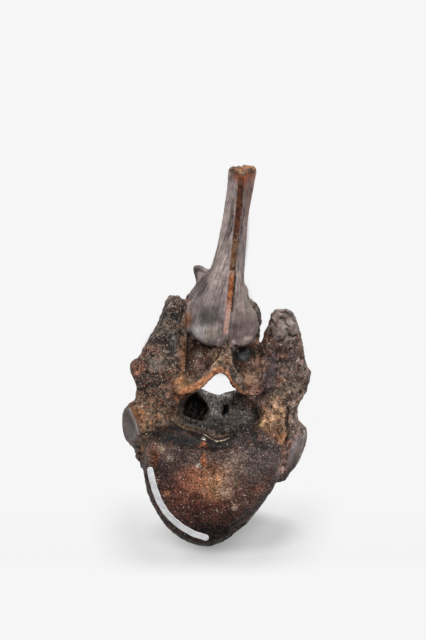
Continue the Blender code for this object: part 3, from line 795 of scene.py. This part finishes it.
# Painted light over the shade just inside the canal, under the arch's edge.
dab(spot(-3.8, -30.6, 1.7, 1.5, 0, 0.8), "d6ccc6", 0.85)
dab(spot(0.8, -40.6, 4.4, 1.7, 0, 0.7), "161211", 0.85)
# Painted light over the shade below the right joint face.
dab(spot(28.0, -58.6, 2.0, 3.6, -14, 0.7), "b09086", 0.85)
# Painted shade in the hollows of the relief, and painted light on what stands proud.
paint *= np.exp(np.clip(1.5 * relief, -1.2, 0.6))[:, None]

# Pale dust and crumbs lie thickest in the patches below, and none stays where the surface is bare or worn smooth.
# The same pale flecks also stand for small glints: a painted highlight.
CUP_HOLE = (11.8, -13.6, 4.0, 3.3, 0, 0.4)
KNOB_TOP = (28.0, -2.6, 7.2, 7.2, 0, 0.3)
DUST_AND_GLINT_ZONES = [
    (8, -61, 4.6, 8.4, -14, 0.9, 0.55),
    (9.2, -54.6, 3.6, 1.8, 0, 0.8, 0.5),
    (3.6, -68, 4.6, 2.4, 0, 0.8, 0.55),
    (-3, -66, 12, 7, 0, 0.8, 0.26),
    (-2, -76, 14, 5, 0, 0.8, 0.1),
    (2, -34, 14, 8, 0, 0.4, 0.5),
    (3.8, -15.4, 4, 4, 0, 0.6, 0.35),
    (-20, -18, 8, 9, 0, 0.6, 0.35),
    (-20.7, -51.3, 2, 1.4, 0, 0.8, 0.6),
    (26, -40, 6, 10, 0, 0.6, 0.42),
    (-26, -38, 8, 6, 0, 0.6, 0.4),
    (31, -24, 6, 6, 0, 0.7, 0.3),
]
BARE = [
    (-7.4, -34.9, 4.8, 5.4, -16, 0.3),
    (5.1, -34.8, 1.7, 2.6, 0, 0.3),
    CUP_HOLE,
    (-15, -45.4, 11, 4, -6, 0.5),
    (2, -40.4, 7, 2.8, 0, 0.6),
    (0, -49.8, 7, 1.8, 0, 0.5),
    (-2, -85.4, 10, 3.8, 0, 0.5),
]
dust_and_glints = 0.19 * spongy + 0.09 * head + 0.2 * cups + 0.5 * broken_end
for *zone, share in DUST_AND_GLINT_ZONES:
    dust_and_glints = np.maximum(dust_and_glints, share * spot(*zone))
for zone in BARE:
    dust_and_glints = dust_and_glints * (1 - 0.85 * spot(*zone, sharp))
dust_and_glints = np.clip(dust_and_glints * (1 - fibrous * (1 - broken_end)), 0, 1)
worn_hem = np.maximum(band(ARCH_EDGE, 3.6, 0.5, stray), spot(-11.8, -25.6, 3.2, 2.6, 30, 0.8))
dust_and_glints = dust_and_glints * (1 - 0.9 * worn_hem) * (1 - 0.9 * seats)
dust_and_glints = dust_and_glints * (1 - 0.8 * spot(*KNOB_TOP)) * (1 - 0.5 * spot(28.2, -14.4, 7.0, 5.0, 0, 0.7))

inside = 1 - ease(np.hypot((sharp[:, 0] - 2.6) / 14.6, (sharp[:, 1] + 37.0) / 7.4), 0.85, 1.05)
inside = np.maximum(canal_zone, inside * (1 - ease(z, 40.0, 42.5)))
rough = rough * (1 - 0.8 * inside) * (1 - spot(*CUP_HOLE)) * (1 - 0.75 * worn_hem)
rough = rough * (1 - 0.6 * spot(*KNOB_TOP)) * (1 - 0.5 * cups)
rough = rough * (1 - 0.55 * band([(24.0, -18.4), (21.9, -25.0), (18.8, -32.0)], 3.2, 0.8, stray))
streaked = fibrous * (1 - broken_end) * (1 - 0.6 * skirts)
reddened = (1 - inside) * (1 - 0.8 * spot(-20.0, -8.0, 7.0, 9.0, 0, 0.8))

# The spine's fibres run along it: a pattern is read round the spine, and drawn out along its length.
SPINE_HEART_Z = 12.0
SPINE_RADIUS = 9.0
DRAWN_OUT = 22.0
round_spine = np.arctan2(spots[:, 2] - SPINE_HEART_Z, spots[:, 0] - ridge_x)
fibre_lay = SPINE_RADIUS * np.stack([np.cos(round_spine), np.zeros(len(spots)), np.sin(round_spine)], 1)
fibre_lay[:, 1] = spots[:, 1] / DRAWN_OUT


def kept(name, kind, key, rows):
    """Keeps a value for each point of the bone, for its material to read."""
    bone.data.attributes.new(name, kind, "POINT").data.foreach_set(key, rows.ravel())


kept("stain", "FLOAT_COLOR", "color", np.concatenate([paint, np.ones((len(spots), 1))], 1))
kept("kinds", "FLOAT_COLOR", "color", np.stack([rough, streaked, np.maximum(head, inside), dust_and_glints], 1))
kept("fibre_lay", "FLOAT_VECTOR", "vector", fibre_lay)
kept("redness", "FLOAT", "value", reddened)
kept("from_front", "FLOAT_VECTOR", "vector", np.concatenate([shown, front[:, None]], 1))
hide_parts("vertebra")
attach(bone, "root")


# The bone's finish. Old bone is satin where its hard wall is whole, and dull and crumbly where the spongy inside
# shows. Clouds, pores, crumbs and, on the spine, streaks along its fibres break up the stains for the eye, and the
# same patterns make the bump and the roughness. The pale crumbs also stand for small glints: a painted highlight.
TIMES = {"operation": "MULTIPLY"}
TIMES_PLUS = {"operation": "MULTIPLY_ADD"}
PLUS = {"operation": "ADD"}
MINUS = {"operation": "SUBTRACT"}
LARGER = {"operation": "MAXIMUM"}
UNSIGNED = {"operation": "ABSOLUTE"}
ABOVE = {"operation": "GREATER_THAN"}
SCALED = {"operation": "SCALE"}
EASED = {"interpolation_type": "SMOOTHSTEP"}
TINTS = {"data_type": "RGBA"}
THREADS = 2.6
BUMP_DEPTH = 0.8 * MM


def node(kind, settings=None, *values, out=0, **named):
    """Adds a node to the tree in hand and gives one of its outputs. Values go to the sockets in order, by name, or
    by number after a letter, and each is a plain value or another node's output."""
    made = tree.nodes.new("ShaderNode" + kind)
    for key, value in (settings or {}).items():
        setattr(made, key, value)
    for key, value in [*enumerate(values), *named.items()]:
        if isinstance(key, str):
            key = int(key[1:]) if key[1:].isdigit() else key.replace("_", " ")
        if isinstance(value, bpy.types.NodeSocket):
            tree.links.new(value, made.inputs[key])
        else:
            made.inputs[key].default_value = value
    return made.outputs[out] if len(made.outputs) else None


def fresh(name):
    """A new material with an empty tree."""
    made = bpy.data.materials.new(name)
    made.use_nodes = True
    made.node_tree.nodes.clear()
    return made, made.node_tree


def in_millimetres():
    """The place on the object in millimetres."""
    return node("VectorMath", SCALED, node("TexCoord", out="Object"), Scale=1 / MM)


def patches(at, size, detail, low, high, least=0.0, most=1.0, rough=0.6, by=0.0):
    """Clouds of a lump size in millimetres, from one strength to another, moved by so much to be unlike others."""
    if by:
        at = node("VectorMath", PLUS, at, (by, by, by))
    noisy = node("TexNoise", Vector=at, Scale=1 / size, Detail=detail, Roughness=rough)
    return node("MapRange", EASED, noisy, low, high, least, most)


def wandering(at, size, by, wide, thin):
    """Thin winding lines, where clouds pass through their middle value."""
    at = node("VectorMath", PLUS, at, (by, by, by))
    noisy = node("TexNoise", Vector=at, Scale=1 / size, Detail=2.0, Roughness=0.5)
    off = node("Math", UNSIGNED, node("Math", MINUS, noisy, 0.5))
    return node("MapRange", EASED, off, wide, thin)


def coated(under, over, *shares):
    """Lays one colour over another, as strong as its shares multiplied. A colour is a hex code or an output."""
    strength = shares[0]
    for share in shares[1:]:
        strength = node("Math", TIMES, strength, share)
    under, over = ((*linear(c), 1.0) if isinstance(c, str) else c for c in (under, over))
    return node("Mix", TINTS, strength, i6=under, i7=over, out=2)


def mottled(colour, mask, pattern, low, high, least, most):
    """Makes a colour darker and lighter along with a pattern, inside a mask."""
    tone = node("MapRange", EASED, pattern, low, high, least, most)
    return node("VectorMath", SCALED, colour, Scale=node("Mix", None, mask, i2=1.0, i3=tone))


def trace(path, width, upright=False, soft=0.35, stray_by=0.3):
    """A thin line on the front along a path that never doubles back, across or, where upright, up and down."""
    ahead, aside = (1, 0) if upright else (0, 1)
    points = sorted((p[ahead], p[aside]) for p in path)
    start, end = points[0][0], points[-1][0]
    low = min(p[1] for p in points) - 1
    high = max(p[1] for p in points) + 1
    level = node("FloatCurve", Value=node("MapRange", None, front_axes[ahead], start, end))
    knots = level.node.mapping.curves[0].points
    for k, (at, height) in enumerate(points):
        knot = knots[k] if k < 2 else knots.new(0.5, 0.5)
        knot.location = ((at - start) / (end - start), (height - low) / (high - low))
    for knot in knots:
        knot.handle_type = "VECTOR"
    level.node.mapping.update()
    centre = node("Math", TIMES_PLUS, level, high - low, low)
    strayed = node("Math", TIMES_PLUS, node("Math", MINUS, wobble, 0.5), stray_by * 4, front_axes[aside])
    off = node("Math", UNSIGNED, node("Math", MINUS, strayed, centre))
    mask = node("MapRange", EASED, off, width / 2 * (1 + soft), width / 2 * (1 - soft))
    for edge, inward in ((start, 0.3), (end, -0.3)):
        near = node("MapRange", EASED, front_axes[ahead], edge - inward, edge + inward)
        mask = node("Math", TIMES, mask, near)
    return node("Math", TIMES, mask, front_axes[2])


def flecks(at, size, share, dot):
    """Scattered dots in a share of the cells of a size in millimetres, and two random values of each cell."""
    cell = node("TexVoronoi", Vector=at, Scale=1 / size).node.outputs
    chance = node("SeparateColor", None, cell["Color"]).node.outputs
    here = node("Math", ABOVE, node("Math", PLUS, chance[0], share), 1.0)
    dots = node("MapRange", EASED, cell["Distance"], dot * 1.2, dot * 0.8)
    return node("Math", TIMES, here, dots), chance[1], chance[2]


bone_finish, tree = fresh("old_stained_bone")
place = in_millimetres()
bend = node("TexNoise", Vector=place, Scale=0.6, Detail=2.0, out="Color")
bent = node("VectorMath", TIMES_PLUS, bend, (2.2, 2.2, 2.2), place)
stain = node("Attribute", {"attribute_name": "stain"}, out="Color")
kinds = node("Attribute", {"attribute_name": "kinds"}, out="Color")
is_rough, is_fibrous, is_head = node("SeparateColor", None, kinds).node.outputs[:3]
dust_and_glint_share = kinds.node.outputs["Alpha"]
is_red = node("Attribute", {"attribute_name": "redness"}, out="Fac")
fibre_lay = node("Attribute", {"attribute_name": "fibre_lay"}, out="Vector")
from_front = node("Attribute", {"attribute_name": "from_front"}, out="Vector")
front_axes = node("SeparateXYZ", None, from_front).node.outputs
in_canal = node("Math", TIMES, node("Math", MINUS, 1.0, is_red), is_head)
patchy = node("Math", LARGER, is_rough, node("Math", TIMES, is_head, 0.4))
wobble = node("TexNoise", Vector=place, Scale=1 / 1.2, Detail=2.0, Roughness=0.6)
mottle = node("TexNoise", Vector=bent, Scale=1 / 1.5, Detail=3.0, Roughness=0.7)
grit = node("TexNoise", Vector=place, Scale=1 / 0.5, Detail=2.0, Roughness=0.7)
head_place = node("VectorMath", PLUS, place, (41.0, 41.0, 41.0))
speckle = node("TexNoise", Vector=head_place, Scale=1 / 0.75, Detail=3.0, Roughness=0.75)
hair_lay = node("VectorMath", TIMES, from_front, (1.0, 0.3, 0.0))
hairs = node("TexNoise", Vector=hair_lay, Scale=1 / 0.7, Detail=3.0, Roughness=0.7)
threads = node("TexNoise", Vector=fibre_lay, Scale=THREADS, Detail=3.0, Roughness=0.65)

colour = node("VectorMath", SCALED, stain, Scale=patches(place, 4.0, 4.0, 0.32, 0.68, 0.66, 1.34))
colour = coated(colour, "6d615a", patches(bent, 1.9, 4.0, 0.54, 0.6, rough=0.65, by=53.0), is_rough, 0.4)
colour = coated(colour, "7d4a33", patches(bent, 2.2, 4.0, 0.53, 0.6, rough=0.65, by=77.0), patchy, 0.5, is_red)
dim = node("Math", TIMES, patches(bent, 2.6, 5.0, 0.5, 0.57, rough=0.65, by=31.0), patchy)
colour = node("VectorMath", SCALED, colour, Scale=node("Mix", None, dim, i2=1.0, i3=0.4))
colour = mottled(colour, is_rough, mottle, 0.36, 0.64, 0.55, 1.6)
colour = mottled(colour, is_rough, grit, 0.34, 0.66, 0.72, 1.35)
colour = mottled(colour, is_head, grit, 0.34, 0.66, 0.6, 1.45)
colour = mottled(colour, is_head, speckle, 0.38, 0.62, 0.45, 1.8)
colour = mottled(colour, in_canal, hairs, 0.40, 0.60, 0.4, 1.9)

cells = node("MapRange", EASED, node("TexVoronoi", Vector=bent, Scale=1 / 1.9), 0.42, 0.22)
holes = node("Math", TIMES, node("Math", TIMES, cells, patches(place, 5.0, 2.0, 0.48, 0.58)), is_rough)
colour = coated(colour, "150f0e", holes, 0.85)
curls = wandering(bent, 1.7, 63.0, 0.022, 0.008)
crumbly = node("Math", LARGER, is_rough, in_canal)
colour = coated(colour, "a3917f", curls, patches(place, 2.6, 3.0, 0.46, 0.58, by=15.0), crumbly, 0.65)
veins = wandering(bent, 2.2, 27.0, 0.024, 0.010)
colour = coated(colour, "17110f", veins, patches(place, 3.4, 3.0, 0.44, 0.56, by=35.0), is_rough, 0.7)

# Pale flecks: crumbs and dust, and painted glints.
share = node("Math", TIMES, dust_and_glint_share, patches(place, 2.4, 3.0, 0.44, 0.62, 0.25, 1.5, by=91.0))
crumb_and_glint_dot, hue, shine = flecks(bent, 0.55, share, 0.42)
rusty = node("Math", TIMES, is_red, node("MapRange", EASED, is_head, 0.0, 1.0, 1.0, 0.4))
fleck_colour = coated(coated("7f7062", "c9bbaa", shine), "95613f", node("MapRange", EASED, hue, 0.5, 0.25), rusty)
colour = coated(colour, fleck_colour, crumb_and_glint_dot, node("Math", TIMES_PLUS, shine, 0.6, 0.5))
crumb_place = node("VectorMath", PLUS, bent, (19.0, 19.0, 19.0))
crumb, hue, shine = flecks(crumb_place, 0.9, node("Math", TIMES, share, 0.3), 0.32)
colour = coated(colour, coated("9a8468", "c9bca9", hue), crumb, 0.8)
colour = mottled(colour, is_fibrous, threads, 0.36, 0.64, 0.5, 1.65)

# Lines finer than the mesh, drawn over the finish: the groove and the worn edge of the spine, the arch's worn hem,
# cracks in the hard wall, and the pale crusts over the head.
SILT = [(9.4, 35.0), (8.6, 28.0), (7.6, 18.6)]
LEFT_RIB = [(-11.0, -7.0), (-11.6, -13.0), (-12.2, -19.0), (-12.2, -24.6)]
CUP_EDGE = [(15.4, -10.6), (18.2, -8.4), (20.6, -6.0)]
SMALL_HOLE = [(5.0, -33.7), (5.3, -35.5), (5.0, -37.3)]
DARK_LINES = [
    ([(-29, -27.6), (-26.4, -26.6), (-24.2, -24.6)], 0.8),
    ([(-9.8, -8), (-10.4, -13), (-10.8, -19), (-10.6, -22.6)], 0.7, True, 0.6),
    ([(12.6, -23), (11, -20.8), (10.4, -18)], 0.7, True, 0.6),
    ([(17.4, -33.6), (18.4, -36), (17.8, -39.6)], 1, True, 0.6),
    ([(3.2, -10.6), (2, -14.6), (-0.4, -17.5)], 0.9, True, 0.6),
    ([(7.2, -10.6), (8, -14.6), (8.9, -18.7), (10.4, -21.1)], 1, True, 0.6),
    ([(-1.6, -25), (1.4, -22), (3.4, -21)], 0.5),
    ([(8.2, 42), (7.4, 37), (6.8, 34)], 0.35, True),
    ([(12.6, 45), (11.8, 39), (11.2, 33)], 0.4, True),
    (SIDE_CRACK, 0.7, True),
    ([(u, v - 1) for u, v in LIP], 1),
    ([(u, v + 0.8) for u, v in LIP[3:]], 0.6),
    ([(-12.6, -43.8), (-8, -45.6), (-3.6, -47.2)], 0.5),
]
DARK_LINES += [(path, 0.6) for path, _ in TOP_CRACKS]
PALE_LINES = [
    ([(4.2, -11.2), (3, -14.6), (0.8, -17.3), (-1.6, -19)], 0.6, True, "9a8069"),
    ([(6.2, -11.2), (7, -14.6), (7.7, -18.2)], 0.6, True, "8f7660"),
    (LIP[4:9], 0.4, False, "b9ad95"),
    ([(u - 0.4, v + 1.6) for u, v in LIP[2:9]], 0.7, False, "66553a"),
    (LIP[:4], 0.8, False, "7b6744"),
    (LEFT_FACE_LINE, 0.5, True, "a79c92"),
    (RIGHT_FACE_LINE, 0.5, True, "ada49e"),
    (SIDE_LINE, 0.4, False, "9b8d82"),
]
across, up = front_axes[0], front_axes[1]
old_rust = coated("39221b", "633824", patches(place, 2.0, 4.0, 0.4, 0.6))
colour = coated(colour, old_rust, trace(GROOVE, 2.4, True, 0.2, 0.2), node("MapRange", EASED, up, 59.0, 53.0))
silty = node("MapRange", EASED, grit, 0.42, 0.58, 0.15, 0.8)
colour = coated(colour, "927a5c", trace(SILT, 2.0, True), patches(place, 2.0, 3.0, 0.44, 0.56, by=8.0), silty)
edge_rust = coated("6e3d25", "a86a42", patches(place, 1.4, 4.0, 0.4, 0.6))
edge_top = trace(EDGE[:4], 2.2, True, 0.2, 0.2)
colour = coated(colour, edge_rust, edge_top, node("MapRange", EASED, up, 20.4, 17.2))
colour = coated(colour, "3a241c", trace([(u + 1.3, v) for u, v in EDGE[:4]], 0.6, True))
colour = coated(colour, "a3918f", trace([(u - 1.5, v) for u, v in EDGE[:4]], 0.5, True))
worn_bone = coated("a5796a", "cba99d", node("MapRange", EASED, grit, 0.4, 0.6))
edge_foot = trace(EDGE[1:], 1.9, True, 0.2, 0.2)
colour = coated(colour, worn_bone, edge_foot, node("MapRange", EASED, up, 10.0, 2.0))
hem = coated("8a5639", "cb8f66", patches(place, 1.6, 4.0, 0.4, 0.6))
hem_tone = node("MapRange", EASED, across, -8.0, -2.0, 1.05, 0.66)
colour = coated(colour, node("VectorMath", SCALED, hem, Scale=hem_tone), trace(ARCH_EDGE, 2.2, False, 0.4, 0.3))
rib_rust = coated("573626", "95633f", node("MapRange", EASED, grit, 0.4, 0.6))
left_rib = trace(LEFT_RIB, 1.5, True, 0.7, 0.9)
colour = coated(colour, rib_rust, left_rib, patches(place, 1.8, 4.0, 0.42, 0.60, 0.0, 0.7))
colour = coated(colour, hem, trace(CUP_EDGE, 0.9, False, 0.5))
colour = coated(colour, hem, trace(RIGHT_ARCH, 1.3, True, 0.5, 0.3))
for line in DARK_LINES:
    colour = coated(colour, "16110f", trace(*line), 0.8)
# Painted shade: the small hole in the canal's floor is drawn black.
colour = coated(colour, "060505", trace(SMALL_HOLE, 2.3, True, 0.15, 0.1))
crust = patches(place, 0.9, 2.0, 0.46, 0.58)
for *line, code in PALE_LINES:
    colour = coated(colour, code, trace(*line), crust)

height = node("Math", TIMES_PLUS, mottle, 0.6, node("Math", TIMES, grit, 0.3))
height = node("Math", TIMES, height, node("Math", TIMES_PLUS, is_rough, 0.85, 0.15))
height = node("Math", TIMES_PLUS, holes, -0.7, height)
height = node("Math", TIMES_PLUS, node("Math", TIMES, threads, is_fibrous), 0.6, height)
bump = node("Bump", Strength=0.8, Distance=BUMP_DEPTH, Height=height)
dull = node("MapRange", EASED, mottle, 0.3, 0.7, 0.42, 0.68)
surface = node("BsdfPrincipled", Base_Color=colour, Roughness=dull, Normal=bump, Specular_IOR_Level=0.2)
node("OutputMaterial", Surface=surface)
bone.data.materials.clear()
bone.data.materials.append(bone_finish)

# The museum's strip. A bare band of white lacquer along the left of the head's rim, brushed on by hand, with round
# ends. It follows the bone and stands a tenth of a millimetre proud of it. The lacquer is an even white with a soft
# gloss, slight brush ridges and a few grey rubs.
STRIP = [
    (-25.2, -58.4), (-24.3, -63.2), (-23.1, -67.6), (-21.4, -72.1), (-18.7, -76.6), (-15.9, -79.6), (-12, -82.7),
    (-7.5, -85.2), (-1.6, -87),
]
STRIP_WIDE = 2.6
STRIP_THICK = 0.12
STRIP_LIFT = 0.04
STRIP_STEP = 0.4
STRIP_LANES = 8
STRIP_WAVE = 0.05
eye = AIM + Vector(facing) * AWAY
eye_place = (eye - Vector((*MIDDLE, RUB))) * MM
path = np.array(STRIP)
run = np.concatenate([[0], np.cumsum(np.linalg.norm(np.diff(path, axis=0), axis=1))])


def on_path(along):
    """The point of the strip's middle line at a length along it."""
    return np.array([np.interp(along, run, path[:, k]) for k in (0, 1)])


skin = bmesh.new()
skin.from_mesh(bone.data)
skin_tree = BVHTree.FromBMesh(skin)
skin.free()
forms = bmesh.new()
bmesh.ops.create_grid(forms, x_segments=STRIP_LANES, y_segments=round(run[-1] / STRIP_STEP), size=1)
for v in forms.verts:
    along = (v.co.y + 1) / 2 * run[-1]
    way = on_path(along + 2) - on_path(along - 2)
    way /= np.linalg.norm(way)
    end = min(along, run[-1] - along) / (STRIP_WIDE / 2)
    half = STRIP_WIDE / 2 * math.sqrt(max(0.02, 1 - max(0.0, 1 - end) ** 2))
    half *= 1 + STRIP_WAVE * noise.noise((along / 3, 0.4, 1.7))
    flat = on_path(along) + half * v.co.x * np.array((way[1], -way[0]))
    target = AIM + Vector((flat[0], 0, 0)) + Vector(upward) * flat[1]
    toward = ((target - Vector((*MIDDLE, RUB))) * MM - eye_place).normalized()
    hit, normal, _, _ = skin_tree.ray_cast(eye_place, toward)
    v.co = hit + normal * STRIP_LIFT * MM
strip = keep(forms, "lacquer_strip")
worked(
    strip,
    ("SMOOTH", {"factor": 0.5, "iterations": 3}),
    ("SOLIDIFY", {"thickness": STRIP_THICK * MM, "offset": 1.0}),
)
strip.data.polygons.foreach_set("use_smooth", [True] * len(strip.data.polygons))

lacquer, tree = fresh("brushed_white_lacquer")
place = in_millimetres()
brush = node("TexNoise", Vector=place, Scale=1 / 0.8, Detail=2.0, Roughness=0.6)
colour = coated("ececee", "aaa49e", patches(place, 1.2, 3.0, 0.6, 0.76))
bump = node("Bump", Strength=0.4, Distance=0.2 * MM, Height=brush)
gloss = node("MapRange", EASED, brush, 0.3, 0.7, 0.38, 0.55)
surface = node("BsdfPrincipled", Base_Color=colour, Roughness=gloss, Normal=bump)
node("OutputMaterial", Surface=surface)
strip.data.materials.append(lacquer)
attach(strip, "root")

# The table and the light. The bone lies on a plain, pale, matt paper sheet. The sheet glows as well, a painted
# light that keeps it nearly white. Before the head its glow is weaker, so the lamps' shadow of the head shows
# there, and under the bone soft ovals of painted shade take the glow away. Two soft lamps hang beyond the spine's
# tip, left and right, and an even pale surround fills the shadows.
FLOOR_REACH = 3.0
FLOOR_DROP = 0.1
# Soft ovals of painted shade on the sheet: middle across and along, two half sizes, and the inner reach where it is
# full.
SHADED = [
    (5, -89, 38, 12, 0.2),
    (-4, -72, 24, 24, 0.5),
    (-4, -50, 29, 22, 0.5),
    (-23, -18, 11, 26, 0.5),
    (29, -17, 8.6, 24, 0.3),
    (3, 8, 14, 26, 0.5),
    (9, 50, 5, 26, 0.5),
]
forms = bmesh.new()
level = Matrix.Translation((0, 0, -FLOOR_DROP * MM))
bmesh.ops.create_grid(forms, x_segments=1, y_segments=1, size=FLOOR_REACH, matrix=level)
floor = keep(forms, "table_sheet")
sheet, tree = fresh("pale_paper_sheet")
across, along, _ = node("SeparateXYZ", None, in_millimetres()).node.outputs
far_lit = node("MapRange", EASED, along, -92.0, -66.0)
near_lit = node("MapRange", EASED, along, -100.0, -112.0)
lit_below = node("Math", LARGER, far_lit, near_lit)
# Painted shade: inside the ovals the glow drops to a dark grey and the paper turns nearly white, so the lamps'
# shadows there fall dark.
painted_shade_ovals = 0.0
for middle_x, middle_y, wide, tall, core in SHADED:
    aside = node("Math", {"operation": "DIVIDE"}, node("Math", MINUS, across, middle_x), wide)
    ahead = node("Math", {"operation": "DIVIDE"}, node("Math", MINUS, along, middle_y), tall)
    out_by = node("Math", TIMES_PLUS, aside, aside, node("Math", TIMES, ahead, ahead))
    painted_shade_ovals = node("Math", LARGER, painted_shade_ovals, node("MapRange", EASED, out_by, 1.0, core))
paper = coated(coated("bfbfbf", "000000", lit_below), "f9f9f9", painted_shade_ovals)
glow = coated(coated("b7b7b7", "f5f5f5", lit_below), "5d5d5d", painted_shade_ovals)
surface = node("BsdfPrincipled", Base_Color=paper, Roughness=0.9, Emission_Color=glow, Emission_Strength=1.0)
node("OutputMaterial", Surface=surface)
floor.data.materials.append(sheet)

LENS = 88.99
SENSOR = 36
camera = bpy.data.objects.new("camera", bpy.data.cameras.new("camera"))
bpy.context.scene.collection.objects.link(camera)
camera.data.sensor_width = SENSOR
camera.data.lens = LENS
camera.location = eye_place
camera.rotation_euler = Euler((-math.radians(TILT), 0, 0))
bpy.context.scene.camera = camera

LAMPS = [("left_lamp", (-0.50, 1.25, 1.35), 0.6, 21.0), ("right_lamp", (0.50, 1.25, 1.35), 0.6, 19.5)]
SURROUND = 0.14
aim = (AIM - Vector((*MIDDLE, RUB))) * MM
for name, away, size, power in LAMPS:
    lamp = bpy.data.objects.new(name, bpy.data.lights.new(name, "AREA"))
    bpy.context.scene.collection.objects.link(lamp)
    lamp.data.shape = "DISK"
    lamp.data.size = size
    lamp.data.energy = power
    lamp.location = aim + Vector(away)
    lamp.rotation_euler = (-Vector(away)).to_track_quat("-Z", "Y").to_euler()

world = bpy.data.worlds.new("pale_surround")
bpy.context.scene.world = world
world.use_nodes = True
world.node_tree.nodes["Background"].inputs["Color"].default_value = (1, 1, 1, 1)
world.node_tree.nodes["Background"].inputs["Strength"].default_value = SURROUND
bpy.context.scene.view_settings.view_transform = "Standard"
